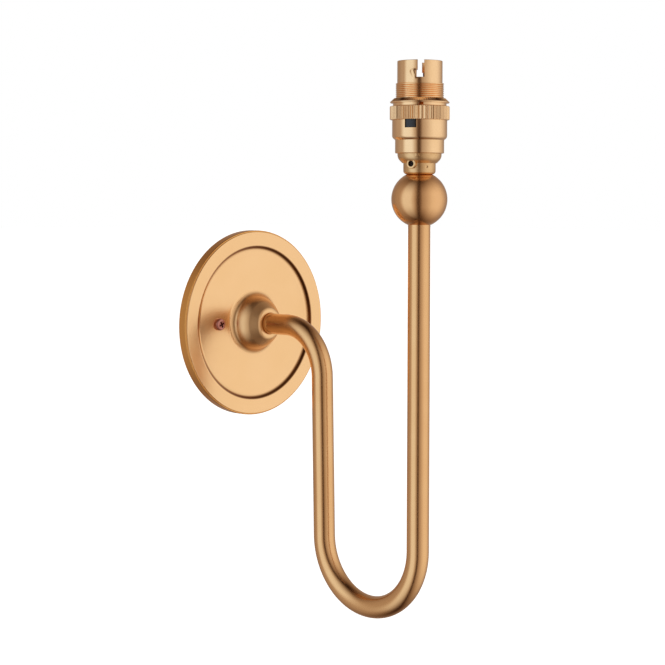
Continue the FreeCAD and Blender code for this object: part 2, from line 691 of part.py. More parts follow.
def union_ring():
    """Knurled ring: screwed on the body, its lip holds the barrel's flange down."""
    low = BODY_SHOULDER + SEAT
    blank = turned([
        (BODY_THREAD_R + SNUG, low),
        (RING_R, low, RING_ROUND),
        (RING_R, RING_TOP, RING_ROUND),
        (THREAD_R + SNUG, RING_TOP),
        (THREAD_R + SNUG, RING_TOP - RING_LIP),
        (BODY_THREAD_R + SNUG, RING_TOP - RING_LIP),
    ])
    knurls = Part.Face(ring_of_corners(RING_R, RING_R - KNURL_DEPTH, 2 * KNURL_COUNT, low))
    return onto_ball(blank.common(knurls.extrude(Vector(0, 0, RING_TOP - low))))


def shade_ring():
    """Ring that clamps a shade: hub, thin rim and serrated cone, with a notch under its rim."""
    low = RING_TOP + SEAT
    rim_low = low + SHADE_HUB_HIGH
    rim_top = rim_low + SHADE_RIM_HIGH
    bore = THREAD_R + SLIDE
    ring = turned([
        (bore, low),
        (SHADE_HUB_R, low),
        (SHADE_HUB_R, rim_low),
        (SHADE_RING_R, rim_low),
        (SHADE_RING_R, rim_top, SHADE_RIM_ROUND),
        (bore, rim_top),
    ])
    cone_top = rim_top + SHADE_CONE_HIGH
    outlines = []
    for crest, up in ((SHADE_RING_R - SHADE_CONE_IN, rim_top), (bore + SHADE_CONE_LAND, cone_top)):
        outlines.append(ring_of_corners(crest, crest - SERRATION_DEPTH, 2 * SERRATION_COUNT, up))
    cone = Part.makeLoft(outlines, True, True)
    ring = ring.fuse(cone.cut(rod(bore, rim_top, cone_top)))
    notch = block(SHADE_RING_R, SHADE_NOTCH_WIDTH, low, rim_low, THREAD_R)
    return onto_ball(ring.cut(notch))


PARTS = {
    "backplate": backplate,
    "mounting_strap": mounting_strap,
    "plate_screws": plate_screws,
    "earth_washer": earth_washer,
    "earth_screw": earth_screw,
    "arm_tube": arm_tube,
    "wall_nipple": wall_nipple,
    "lock_washer": lock_washer,
    "hex_nut": hex_nut,
    "top_nipple": top_nipple,
    "ball": ball,
    "holder_cap": holder_cap,
    "cap_grub_screw": cap_grub_screw,
    "holder_body": holder_body,
    "contact_block": contact_block,
    "terminal_pillars": terminal_pillars,
    "terminal_screws": terminal_screws,
    "contact_plunger_a": lambda: contact_plunger(90),
    "contact_plunger_b": lambda: contact_plunger(-90),
    "plunger_spring_a": lambda: plunger_spring(90),
    "plunger_spring_b": lambda: plunger_spring(-90),
    "bayonet_barrel": bayonet_barrel,
    "union_ring": union_ring,
    "shade_ring": shade_ring,
}

os.makedirs("parts", exist_ok=True)
for name, make in PARTS.items():
    shape = make()
    shape.exportStep(f"parts/{name}.step")
    box = shape.BoundBox
    spans = [(box.XMin, box.XMax), (box.YMin, box.YMax), (box.ZMin, box.ZMax)]
    places = ", ".join(f"{axis} {low:.2f} to {high:.2f}" for axis, (low, high) in zip("xyz", spans))
    print(f"{name}: {len(shape.Solids)} solid, {shape.Volume:.1f} mm3, valid {shape.isValid()}, {places}")
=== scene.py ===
# %% [markdown]
# A wall lamp bracket in satin brass.
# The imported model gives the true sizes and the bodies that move. This file dresses it: each visible
# piece is built again with fine edges, threads, knurls and pressed marks, and gets a finish made of
# nodes. Nothing is scaled or moved, so every new piece lies exactly where its solid is.

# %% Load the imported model
import math

import bmesh
import bpy
from mathutils import Matrix, Vector


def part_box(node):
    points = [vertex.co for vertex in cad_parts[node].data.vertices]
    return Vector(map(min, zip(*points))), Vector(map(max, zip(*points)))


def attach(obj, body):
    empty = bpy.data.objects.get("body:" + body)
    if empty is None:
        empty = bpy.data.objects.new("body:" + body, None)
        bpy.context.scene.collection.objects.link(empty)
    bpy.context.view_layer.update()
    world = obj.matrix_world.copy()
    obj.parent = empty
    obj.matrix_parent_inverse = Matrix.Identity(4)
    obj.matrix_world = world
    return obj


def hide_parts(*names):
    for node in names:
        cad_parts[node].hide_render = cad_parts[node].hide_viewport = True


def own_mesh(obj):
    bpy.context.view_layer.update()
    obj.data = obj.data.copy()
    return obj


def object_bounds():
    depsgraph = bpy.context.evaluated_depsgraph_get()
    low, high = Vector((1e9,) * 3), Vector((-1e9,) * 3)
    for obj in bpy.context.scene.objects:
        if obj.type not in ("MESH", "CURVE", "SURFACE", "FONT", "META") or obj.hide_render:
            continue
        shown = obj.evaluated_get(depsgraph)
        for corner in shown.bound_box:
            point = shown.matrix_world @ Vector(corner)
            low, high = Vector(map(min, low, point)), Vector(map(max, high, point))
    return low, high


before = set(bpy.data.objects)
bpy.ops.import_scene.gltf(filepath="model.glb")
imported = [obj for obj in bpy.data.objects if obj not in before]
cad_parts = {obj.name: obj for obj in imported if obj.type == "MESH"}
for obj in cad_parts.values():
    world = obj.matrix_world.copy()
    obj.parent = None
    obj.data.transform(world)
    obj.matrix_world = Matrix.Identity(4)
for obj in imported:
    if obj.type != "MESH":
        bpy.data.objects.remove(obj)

cad_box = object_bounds()
print("packed model:", len(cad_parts), "nodes, box",
      [[round(v, 4) for v in corner] for corner in cad_box])

# %% [markdown]
# Sizes. A lathe operator thinks in millimetres, and Blender works in metres, so one factor turns the
# first into the second at the very end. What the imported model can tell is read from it: where the
# ball is, how high the lampholder stands, how far the boss reaches. The rest are the maker's own
# radii and heights, with lampholder heights counted from the flat on top of the ball.

# %% Read the main places from the model
MM = 0.001


def box_mm(node):
    """Lowest and highest corner of a node, in millimetres."""
    low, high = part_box(node)
    return low / MM, high / MM


plate_low, plate_high = box_mm("backplate")
arm_low, arm_high = box_mm("arm_tube")
ball_low, ball_high = box_mm("ball")
cap_low = box_mm("holder_cap")[0]
barrel_high = box_mm("bayonet_barrel")[1]

PLATE_R = plate_high.x
BOSS_OUT = -plate_low.y
TUBE_R = arm_high.x
TUBE_START = -arm_high.y
TUBE_TOP = arm_high.z
ARM_DROP = -arm_low.z - TUBE_R
BALL_R = ball_high.x
FRONT_OUT = -(ball_low.y + ball_high.y) / 2
SEAT_Z = cap_low.z
RIM_TOP = barrel_high.z - SEAT_Z
SNUG = 0.08               # air between pieces that fit tightly
SEAT = 0.10               # air under a piece that is screwed down
SLIDE = 0.10              # air round a piece that slides
TUBE_WALL = 0.9
PLATE_SCREW_AT = 27.0
print(f"plate radius {PLATE_R:.1f}, boss {BOSS_OUT:.1f} out,",
      f"arm {FRONT_OUT:.1f} out, seat at {SEAT_Z:.1f} mm")

# %% [markdown]
# Two ways to lay a piece down. Wall pieces are turned about the line that runs out of the wall.
# Lampholder pieces are turned upright, with their slot towards the room's left, and stand on the ball.

# %% Frames for wall pieces and for lampholder pieces
SLOT_HEADING = 225.0


def turned_by(degrees, axis="Z"):
    """Turn about an axis through the origin."""
    return Matrix.Rotation(math.radians(degrees), 4, axis)


def shift(x=0.0, y=0.0, z=0.0):
    """Move along the axes."""
    return Matrix.Translation((x, y, z))


on_wall = turned_by(90, "X")
on_ball = shift(0, -FRONT_OUT, SEAT_Z) @ turned_by(SLOT_HEADING)
in_room = Matrix.Identity(4)
along_x = turned_by(90, "Y")
print("lampholder's slot heads to", SLOT_HEADING, "degrees")

# %% [markdown]
# Colour and nodes. Colours are written the way a paint card gives them, as sRGB hex, and one function
# turns them into the linear values that light is reckoned in. A second small function adds a node
# with its settings and links. Every finish below is made with it and with three short forms of it:
# a sum, a smooth ramp and a mix of two tones.

# %% Helpers for colours and nodes
def linear(code):
    """Linear colour from an sRGB hex code."""
    values = [int(code[i:i + 2], 16) / 255 for i in (1, 3, 5)]
    return tuple(v / 12.92 if v <= 0.04045 else ((v + 0.055) / 1.055) ** 2.4 for v in values) + (1.0,)


def add(tree, kind, sockets=None, **settings):
    """Adds a node. Sockets get a value, or a link where the value is another node's output."""
    made = tree.nodes.new("ShaderNode" + kind)
    for name, value in settings.items():
        setattr(made, name, value)
    for name, value in (sockets or {}).items():
        if isinstance(value, bpy.types.NodeSocket):
            tree.links.new(value, made.inputs[name])
        else:
            made.inputs[name].default_value = value
    return made


def calc(tree, operation, *values):
    """Output of a math node."""
    return add(tree, "Math", dict(enumerate(values)), operation=operation).outputs[0]


def ramp(tree, value, start, end, change=1.0):
    """0 before start and the full change after end, smooth between them."""
    return add(tree, "MapRange", {0: value, 1: start, 2: end, 3: 0.0, 4: change},
               interpolation_type="SMOOTHSTEP").outputs[0]


def toned(tree, share, first, second, **settings):
    """Output of a colour mix: first where share is 0, second where it is 1."""
    return add(tree, "Mix", {0: share, 6: first, 7: second}, data_type="RGBA", **settings).outputs[2]


def new_material(name):
    """Empty node material, its tree and its principled shader."""
    material = bpy.data.materials.new(name)
    material.use_nodes = True
    tree = material.node_tree
    tree.nodes.clear()
    shader = add(tree, "BsdfPrincipled")
    add(tree, "OutputMaterial", {"Surface": shader.outputs[0]})
    return material, tree, shader


def finished(tree, shader, colour, roughness, height, depth):
    """Links a colour and a roughness to the shader, and makes its bumps, depth in mm, from a height."""
    bump = add(tree, "Bump", {"Height": height, "Distance": depth * MM, "Strength": 1.0}).outputs[0]
    for name, output in (("Base Color", colour), ("Roughness", roughness), ("Normal", bump)):
        tree.links.new(output, shader.inputs[name])


# %% [markdown]
# Metal finishes. Every metal here is a lacquered or plated surface with the same three things to see:
# a tone that drifts slowly over the piece, tool marks that run one way, and a gloss that is not quite
# even. One function makes them all from real sizes. Noise is scaled so that one blotch is as wide as
# stated, and tool marks are bands whose spacing is the feed of the tool. A feed of 0.05 mm is too fine
# for the picture, so marks are drawn 0.3 to 0.6 mm apart and kept very shallow.

# %% The metal recipe
WAVE_PER_METRE = 2 * math.pi / 20     # the wave texture makes 20 radians per unit at scale 1
GRAINS_IN_BLOTCH = 6                  # the gloss changes this many times faster than the tone
MARKS_WANDER = {"Distortion": 1.2, "Detail": 2.0, "Detail Scale": 0.4}


def metal(name, tone, drift, rough, blotch_mm, marks_mm, marks, depth_mm, centre_mm=(0, 0, 0), pits=0.0):
    """Metal with drifting tone, uneven gloss and tool marks. tone and drift are hex, rough is a pair."""
    material, tree, shader = new_material(name)
    place = add(tree, "TexCoord").outputs["Object"]
    centre = [v * MM for v in centre_mm]
    place = add(tree, "VectorMath", {0: place, 1: centre}, operation="SUBTRACT").outputs[0]
    blotches = 1 / (blotch_mm * MM)
    blotch = add(tree, "TexNoise", {"Vector": place, "Scale": blotches, "Detail": 3.0}).outputs[0]
    grain = add(tree, "TexNoise", {"Vector": place, "Scale": blotches * GRAINS_IN_BLOTCH,
                                   "Detail": 4.0}).outputs[0]
    gloss = add(tree, "MapRange", {0: grain, 3: rough[0], 4: rough[1]}).outputs[0]
    lines = add(tree, "TexWave", {"Vector": place, "Scale": WAVE_PER_METRE / (marks_mm * MM),
                                  **MARKS_WANDER}, **marks).outputs[1]
    shader.inputs["Metallic"].default_value = 1.0
    finished(tree, shader, toned(tree, blotch, linear(tone), linear(drift)), gloss,
             calc(tree, "MULTIPLY_ADD", grain, pits, lines), depth_mm)
    return material


round_wall_line = {"wave_type": "RINGS", "rings_direction": "Y"}
level_lines = {"wave_type": "BANDS", "bands_direction": "Z"}
cross_lines = {"wave_type": "BANDS", "bands_direction": "X"}

# %% [markdown]
# Brass. The plate is spun, the tube drawn and bent, the ball turned. All three were then brushed with
# fine abrasive and lacquered, which gives a satin glow with soft edges to every reflection. The
# lampholder is bought in: drawn and turned, bright dipped and clear lacquered, so it is paler and
# sharper. Hidden contacts are plain turned brass.

# %% Brass finishes
holder_centre = (0, -FRONT_OUT, SEAT_Z)
satin_plate = metal("brass_spun_satin_lacquered", "#F8CB97", "#F2C289", rough=(0.19, 0.25), blotch_mm=26,
                    marks_mm=0.6, marks=round_wall_line, depth_mm=0.0006)
satin_tube = metal("brass_drawn_tube_satin_lacquered", "#EABB85", "#E1AD76", rough=(0.19, 0.24),
                   blotch_mm=18, marks_mm=0.5, marks=cross_lines, depth_mm=0.0004)
satin_ball = metal("brass_turned_ball_satin_lacquered", "#EAB883", "#E0AB74", rough=(0.17, 0.22),
                   blotch_mm=14, marks_mm=0.4, marks=level_lines, depth_mm=0.0004)
bright_holder = metal("brass_drawn_bright_dipped", "#F9D2A3", "#ECC08C", rough=(0.12, 0.18), blotch_mm=9,
                      marks_mm=0.35, marks=level_lines, depth_mm=0.0005, centre_mm=holder_centre)
dull_cap = metal("brass_hot_pressed_dipped", "#F0C896", "#D2A66F", rough=(0.24, 0.38), blotch_mm=3,
                 marks_mm=0.35, marks=level_lines, depth_mm=0.004, centre_mm=holder_centre, pits=2.0)
plain_brass = metal("brass_machined_plain", "#D9BC7A", "#C9A866", rough=(0.24, 0.34), blotch_mm=6,
                    marks_mm=0.3, marks=level_lines, depth_mm=0.0008)
print("brass finishes:", [m.name for m in bpy.data.materials if m.name.startswith("brass")])

# %% [markdown]
# Steels. The plate screws are copper plated and a little dull. The strap and washer are zinc plated,
# which is a cool grey with a blue cast and soft spangle. The set screw is zinc plated too, with a black
# passivation; its near-black brown tone is also painted shade for the deep well it sits in, with a faint
# brown gleam. The springs are drawn wire.

# %% Steel finishes
coppered = metal("steel_screw_copper_plated", "#D9988A", "#B87466", rough=(0.26, 0.40), blotch_mm=3,
                 marks_mm=0.3, marks=round_wall_line, depth_mm=0.0006, centre_mm=(-PLATE_SCREW_AT, 0, 0))
zinced = metal("steel_zinc_plated", "#B9BDC2", "#9DA3AC", rough=(0.30, 0.45), blotch_mm=5,
               marks_mm=0.5, marks=cross_lines, depth_mm=0.0006)
# near-black: the set screw's black passivation, and also painted shade for its deep well
black_passivated_and_well_shade = metal("steel_black_passivated_and_painted_well_shade", "#302722", "#211A16", rough=(0.20, 0.34), blotch_mm=2,
                marks_mm=0.3, marks=cross_lines, depth_mm=0.0006)
spring_wire = metal("steel_spring_wire_drawn", "#A5A8AD", "#85888E", rough=(0.25, 0.35), blotch_mm=2,
                    marks_mm=0.3, marks=level_lines, depth_mm=0.0004)
print("steel finishes:", [m.name for m in bpy.data.materials if m.name.startswith("steel")])

# %% [markdown]
# Black moulding. The contact block is a thermosetting plastic pressed in a hot steel mould. The
# mould's polish gives a dense gloss, the filler in it a faint mottle. It is a plain insulator, so it
# keeps the shader's usual index, and its colour is never a pure black.

# %% Black moulding
FILLER_BLOTCH = 1.5
FILLER_DEPTH = 0.01
MOULDING_TONES = ("#15171B", "#24272C")
MOULDING_ROUGH = (0.18, 0.34)

moulded_black, tree, shader = new_material("phenolic_black_moulded")
place = add(tree, "TexCoord").outputs["Object"]
filler = add(tree, "TexNoise", {"Vector": place, "Scale": 1 / (FILLER_BLOTCH * MM), "Detail": 5.0}).outputs[0]
gloss = add(tree, "MapRange", {0: filler, 3: MOULDING_ROUGH[0], 4: MOULDING_ROUGH[1]}).outputs[0]
black = toned(tree, filler, *(linear(tone) for tone in MOULDING_TONES))
finished(tree, shader, black, gloss, filler, FILLER_DEPTH)
print("moulding:", moulded_black.name)

# %% [markdown]
# Turning. Nearly every piece of this lamp is made on a lathe, so the main tool of this file is one
# too: a half section goes round an axis. The section is given as corners, some with a rounding, as on
# a drawing. Each rounding becomes an arc with one more point on either side of it, which keeps the
# flats beside it flat to the light. A shape function may move each point by its angle, and that is
# how threads, knurls, serrations and hexagons come out of the same lathe.

# %% The lathe
ARC_STEP = 12.0           # degrees of arc between two points of a rounding
SUPPORT_MM = 0.06         # how far beside a rounding its extra point lies
ON_AXIS = 1e-6            # a point nearer to the axis is a pole


def rounded(corners):
    """Points of a closed half section. A corner is (radius, height) or (radius, height, rounding)."""
    points = []
    for index, corner in enumerate(corners):
        here = Vector(corner[:2])
        if len(corner) == 2:
            points.append(here)
            continue
        to_before = (Vector(corners[index - 1][:2]) - here).normalized()
        to_after = (Vector(corners[(index + 1) % len(corners)][:2]) - here).normalized()
        half = to_before.angle(to_after) / 2
        back = corner[2] / math.tan(half)
        centre = here + (to_before + to_after).normalized() * (corner[2] / math.sin(half))
        spoke = here + to_before * back - centre
        sweep = math.copysign(math.pi - 2 * half, to_after.cross(to_before))
        steps = max(2, round(math.degrees(abs(sweep)) / ARC_STEP))
        points.append(here + to_before * (back + SUPPORT_MM))
        for step in range(steps + 1):
            points.append(centre + Matrix.Rotation(sweep * step / steps, 2) @ spoke)
        points.append(here + to_after * (back + SUPPORT_MM))
    return points


def on_circle(angle, radius, height):
    """Point at an angle, a radius and a height."""
    return radius * math.cos(angle), radius * math.sin(angle), height


def joined(made, rings):
    """Faces from each ring of points to the next. Where points fall together, they are triangles."""
    for ring, following in zip(rings, rings[1:]):
        for step in range(len(ring)):
            after = (step + 1) % len(ring)
            corners = dict.fromkeys([ring[step], ring[after], following[after], following[step]])
            if len(corners) > 2:
                made.faces.new(list(corners))


def turned(points, steps, shape=None):
    """Closed surface of revolution about Z. shape(angle, radius, height) may move each point."""
    made = bmesh.new()
    rings = []
    for radius, height in points:
        if radius < ON_AXIS:
            rings.append([made.verts.new((0, 0, height))] * steps)
            continue
        ring = []
        for step in range(steps):
            angle = 2 * math.pi * step / steps
            moved = shape(angle, radius, height) if shape else (radius, height)
            ring.append(made.verts.new(on_circle(angle, *moved)))
        rings.append(ring)
    joined(made, rings + rings[:1])
    return made


def rows(start, end, spacing):
    """Evenly spaced values from start to end, about spacing apart."""
    count = max(1, round(abs(end - start) / spacing))
    return [start + (end - start) * index / count for index in range(count + 1)]


# %% [markdown]
# Cutting and joining. Screw holes, notches and bosses aren't round about the main axis. They are made
# as closed shapes of their own and then cut from the turned piece, or joined to it, as a miller or a
# brazier would. The result is one clean skin with no faces left inside.

# %% Cutting and joining
SHARP = math.radians(57)  # faces that meet at more than this form a corner


def as_object(made, name):
    """Object from a bmesh, which is used up."""
    bmesh.ops.recalc_face_normals(made, faces=made.faces)
    mesh = bpy.data.meshes.new(name)
    made.to_mesh(mesh)
    made.free()
    thing = bpy.data.objects.new(name, mesh)
    bpy.context.scene.collection.objects.link(thing)
    return thing


def combined(base, tool, place, operation):
    """bmesh of base and a tool that is put in its place first. Both are used up."""
    tool.transform(place)
    first = as_object(base, "base")
    second = as_object(tool, "tool")
    work = first.modifiers.new("work", "BOOLEAN")
    work.operation = operation
    work.object = second
    work.solver = "EXACT"
    result = bmesh.new()
    result.from_object(first, bpy.context.evaluated_depsgraph_get())
    for thing in (first, second):
        mesh = thing.data
        bpy.data.objects.remove(thing)
        bpy.data.meshes.remove(mesh)
    return result


def cut(base, tool, place=in_room):
    """base with the tool's shape taken out."""
    return combined(base, tool, place, "DIFFERENCE")


def fuse(base, tool, place=in_room):
    """base and tool under one skin."""
    return combined(base, tool, place, "UNION")


def sharp_edges(made):
    """Edges where two faces meet at more than SHARP."""
    return [edge for edge in made.edges if edge.calc_face_angle(0) > SHARP]


def soften(made, edges, offset, segments=2):
    """Rolls the given edges over."""
    bmesh.ops.bevel(made, geom=edges, offset=offset, segments=segments, affect="EDGES", profile=0.5)


def slab(low, high):
    """Box between two corners."""
    made = bmesh.new()
    bmesh.ops.create_cube(made, size=1.0)
    size = Vector(high) - Vector(low)
    made.transform(shift(*(Vector(low) + Vector(high)) / 2) @ Matrix.Diagonal((*size, 1)))
    return made


def peg(radius, low, high, steps=64):
    """Solid cylinder along Z."""
    return turned([(0, low), (radius, low), (radius, high), (0, high)], steps)


def add_piece(name, made, place, finish, nodes, body="bracket", sharp=35.0):
    """Puts a finished mesh into the scene in metres, in place of its solids, riding on its body."""
    made.transform(Matrix.Scale(MM, 4) @ place)
    piece = as_object(made, name)
    piece.data.shade_smooth()
    piece.data.set_sharp_from_angle(angle=math.radians(sharp))
    piece.data.materials.append(finish)
    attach(piece, body)
    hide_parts(*nodes)
    print(f"{name}: {len(piece.data.polygons)} faces, replaces {', '.join(nodes)}")
    return piece


# %% [markdown]
# The backplate. On the real lamp it is one brass disc, spun over a former: the rim is folded back to
# the wall, the field is sunk behind the rim, and the middle is drawn out into a bell-shaped boss that
# carries the tube. It could be modelled from a subdivided disc, but its section is all that matters,
# so it is turned from one drawing, front and back skins together.

# %% Backplate
PLATE_DEPTH = 6.2
PLATE_WALL = 1.0
RIM_WIDTH = 9.0
RIM_STEP = 0.6
RIM_STEP_IN = 0.8
EDGE_ROUND = 0.5
FIELD_DROP = 2.4
FIELD_BEVEL = 2.1
RIM_INNER_ROUND = 1.2
BEVEL_ROUND = 3.0
BOSS_FOOT_R = 16.6
BOSS_FOOT_ROUND = 4.0
BOSS_SHOULDER_R = 14.8
BOSS_SHOULDER_OUT = 10.5
BOSS_SHOULDER_ROUND = 16.0
BOSS_LIP_R = 8.5
BOSS_LIP_ROUND = 3.2
MOUTH_CHAMFER = 0.3
BOSS_ROOF = 3.0
SCREW_HOLE_R = 2.25
BACK_FILLET = 0.4
PLATE_STEPS = 288

BOSS_INSIDE = BOSS_OUT - BOSS_ROOF
NIPPLE_HOLE_R = TUBE_R - TUBE_WALL
FIELD_OUT = PLATE_DEPTH - FIELD_DROP
RIM_IN_R = PLATE_R - RIM_WIDTH
section = rounded([
    (PLATE_R, 0),
    (PLATE_R, PLATE_DEPTH - RIM_STEP, EDGE_ROUND),
    (PLATE_R - RIM_STEP_IN, PLATE_DEPTH - RIM_STEP, RIM_STEP / 4),
    (PLATE_R - RIM_STEP_IN, PLATE_DEPTH, RIM_STEP / 2),
    (RIM_IN_R, PLATE_DEPTH, RIM_INNER_ROUND),
    (RIM_IN_R - FIELD_BEVEL, FIELD_OUT, BEVEL_ROUND),
    (BOSS_FOOT_R, FIELD_OUT, BOSS_FOOT_ROUND),
    (BOSS_SHOULDER_R, BOSS_SHOULDER_OUT, BOSS_SHOULDER_ROUND),
    (BOSS_LIP_R, BOSS_OUT, BOSS_LIP_ROUND),
    (TUBE_R + SNUG + MOUTH_CHAMFER, BOSS_OUT, SNUG),
    (TUBE_R + SNUG, BOSS_OUT - MOUTH_CHAMFER),
    (TUBE_R + SNUG, TUBE_START),
    (NIPPLE_HOLE_R, TUBE_START),
    (NIPPLE_HOLE_R, BOSS_INSIDE),
    (BOSS_LIP_R - PLATE_WALL, BOSS_INSIDE, BACK_FILLET),
    (BOSS_SHOULDER_R - PLATE_WALL, BOSS_SHOULDER_OUT - PLATE_WALL / 2, 2 * BACK_FILLET),
    (BOSS_FOOT_R - PLATE_WALL, FIELD_OUT - PLATE_WALL, 2 * BACK_FILLET),
    (RIM_IN_R - FIELD_BEVEL + PLATE_WALL, FIELD_OUT - PLATE_WALL, BACK_FILLET),
    (RIM_IN_R + PLATE_WALL, PLATE_DEPTH - PLATE_WALL, BACK_FILLET),
    (PLATE_R - 2 * PLATE_WALL, PLATE_DEPTH - PLATE_WALL - RIM_STEP, BACK_FILLET),
    (PLATE_R - PLATE_WALL, PLATE_DEPTH - 2 * PLATE_WALL - RIM_STEP, BACK_FILLET),
    (PLATE_R - PLATE_WALL, 0),
])
plate = turned(section, PLATE_STEPS)
for side in (-1, 1):
    plate = cut(plate, peg(SCREW_HOLE_R, 0, PLATE_DEPTH), shift(side * PLATE_SCREW_AT))
add_piece("backplate_spun", plate, on_wall, satin_plate, ["backplate"])

# %% [markdown]
# Handwork and painted shade on the plate. Three zones differ from the even satin. The boss is brushed by hand
# after spinning, so it is duller and its reflections are blurred. In the corner where the rim drops to the
# field, a thin dark brown ring is painted shade. The disc's outer step and edge are painted a deeper gold,
# as painted shade where the edge turns away from the light. Each zone is a mask over the distance from
# the middle, with soft borders.

# %% Zones on the plate
BOSS_BRUSHED = (17.0, 20.0)      # the brushing fades out between these radii
BOSS_DULLER = 0.10
BOSS_TONE = "#F5C68E"
# painted shade: a thin dark brown ring in the corner where the rim drops to the field
PAINTED_SHADE_CORNER_RADII = (43.5, 44.9)
CORNER_SOFT = 0.6
PAINTED_SHADE_CORNER_TONE = "#7D4D24"
# painted shade: a deeper gold over the outer step and edge, where the edge turns away from the light
PAINTED_SHADE_EDGE_RADII = (53.2, 60.0)
EDGE_SOFT = 0.3
PAINTED_SHADE_EDGE_TONE = "#E5A65C"


def ring_mask(tree, radius, low, high, soft):
    """1 between two radii in mm, with soft borders."""
    rise = ramp(tree, radius, (low - soft) * MM, (low + soft) * MM)
    fall = ramp(tree, radius, (high + soft) * MM, (high - soft) * MM)
    return calc(tree, "MULTIPLY", rise, fall)


def retoned(tree, shader, mask, tone):
    """Mixes a second tone into a finish where the mask is 1."""
    before = shader.inputs["Base Color"].links[0].from_socket
    tree.links.new(toned(tree, mask, before, linear(tone)), shader.inputs["Base Color"])


tree = satin_plate.node_tree
shader = next(node for node in tree.nodes if node.type == "BSDF_PRINCIPLED")
place = add(tree, "TexCoord").outputs["Object"]
parts = add(tree, "SeparateXYZ", {0: place}).outputs
flat = add(tree, "CombineXYZ", {0: parts[0], 1: parts[2]}).outputs[0]
from_middle = add(tree, "VectorMath", {0: flat}, operation="LENGTH").outputs["Value"]

brushed = ramp(tree, from_middle, BOSS_BRUSHED[1] * MM, BOSS_BRUSHED[0] * MM)
retoned(tree, shader, brushed, BOSS_TONE)
gloss = shader.inputs["Roughness"].links[0].from_socket
tree.links.new(calc(tree, "MULTIPLY_ADD", brushed, BOSS_DULLER, gloss), shader.inputs["Roughness"])
# painted shade in the corner below the rim
retoned(tree, shader, ring_mask(tree, from_middle, *PAINTED_SHADE_CORNER_RADII, CORNER_SOFT), PAINTED_SHADE_CORNER_TONE)
# painted shade on the outer step and edge
retoned(tree, shader, ring_mask(tree, from_middle, *PAINTED_SHADE_EDGE_RADII, EDGE_SOFT), PAINTED_SHADE_EDGE_TONE)
print("plate zones: boss within", BOSS_BRUSHED[1], "mm, corner", PAINTED_SHADE_CORNER_RADII, "mm, edge", PAINTED_SHADE_EDGE_RADII[0], "mm")

# %% [markdown]
# The arm. A 12 mm brass tube is bent cold round two formers, filled so that it stays round. Its
# centreline is straight runs joined by two arcs: a quarter turn beside the wall, and a half turn at
# the bottom. A curve object with a bevel would do, but rings placed along the line keep the
# bore and both ends true, so it is swept that way.

# %% Arm
BACK_LIMB_OUT = 61.2
LIMB_LEAN = math.radians(1.4)
UPPER_BEND_R = 28.6
LOWER_BEND_R = 35.5
RUN_SPACING = 3.0
BEND_SPACING = math.radians(2.5)
TUBE_STEPS = 72


def arc_points(centre, radius, start, end):
    """Points on an arc in the arm's plane, as (out, up)."""
    return [centre + radius * Vector((math.cos(a), math.sin(a))) for a in rows(start, end, BEND_SPACING)]


upper_centre = Vector((BACK_LIMB_OUT - UPPER_BEND_R, -UPPER_BEND_R))
lower_centre = Vector((FRONT_OUT - LOWER_BEND_R, LOWER_BEND_R - ARM_DROP))
upper_arc = arc_points(upper_centre, UPPER_BEND_R, math.pi / 2, LIMB_LEAN)
lower_arc = arc_points(lower_centre, LOWER_BEND_R, math.pi + LIMB_LEAN, 2 * math.pi)
corners = [Vector((TUBE_START, 0)), upper_arc[0], upper_arc[-1], lower_arc[0], lower_arc[-1],
           Vector((FRONT_OUT, TUBE_TOP))]


def straight(start, end):
    """Points on a straight run, without its ends."""
    return [start.lerp(end, t) for t in rows(0, 1, RUN_SPACING / (end - start).length)[1:-1]]


line = ([corners[0]] + straight(corners[0], corners[1]) + upper_arc + straight(corners[2], corners[3])
        + lower_arc + straight(corners[4], corners[5]) + [corners[5]])
length = sum((b - a).length for a, b in zip(line, line[1:]))
print(f"arm centreline {length:.1f} mm, {len(line)} rings")


def swept_tube(line, outer, inner, steps):
    """Hollow tube along a line of (out, up) points in the arm's plane, closed at both ends."""
    made = bmesh.new()
    skins = []
    for radius in (outer, inner):
        rings = []
        for index, here in enumerate(line):
            way = (line[min(index + 1, len(line) - 1)] - line[max(index - 1, 0)]).normalized()
            ring = []
            for step in range(steps):
                angle = 2 * math.pi * step / steps
                point = here + Vector((-way.y, way.x)) * (radius * math.sin(angle))
                ring.append(made.verts.new((radius * math.cos(angle), -point.x, point.y)))
            rings.append(ring)
        skins.append(rings)
    loops = skins[0] + skins[1][::-1]
    joined(made, loops + loops[:1])
    return made


tube = swept_tube(line, TUBE_R, TUBE_R - TUBE_WALL, TUBE_STEPS)
add_piece("arm_bent_tube", tube, in_room, satin_tube, ["arm_tube"])

# %% [markdown]
# The ball hides the joint between tube and lampholder. It is turned from bar, bored right through,
# counterbored below for the tube and faced on top. The sphere's arc is worked out by its angle, and
# the two mouths get a fine broken edge.

# %% Ball
BALL_SEAT_R = 6.9
BALL_SOCKET_DEPTH = 6.0
BROKEN_EDGE = 0.15
BALL_SPACING = math.radians(3.0)
BALL_STEPS = 160

BALL_UP = SEAT_Z - math.sqrt(BALL_R ** 2 - BALL_SEAT_R ** 2)
socket_r = TUBE_R + SNUG
low_angle = -math.acos((socket_r + BROKEN_EDGE) / BALL_R)
high_angle = math.acos((BALL_SEAT_R + BROKEN_EDGE) / BALL_R)
flat_up = SEAT_Z - BALL_UP
socket_top = BALL_SOCKET_DEPTH - flat_up
section = [(BALL_R * math.cos(a), BALL_R * math.sin(a)) for a in rows(low_angle, high_angle, BALL_SPACING)]
section += [
    (BALL_SEAT_R - BROKEN_EDGE, flat_up),
    (NIPPLE_HOLE_R, flat_up),
    (NIPPLE_HOLE_R, socket_top),
    (socket_r, socket_top),
    (socket_r, -math.sqrt(BALL_R ** 2 - socket_r ** 2) + BROKEN_EDGE),
]
add_piece("arm_ball", turned(section, BALL_STEPS), shift(0, -FRONT_OUT, BALL_UP), satin_ball, ["ball"])

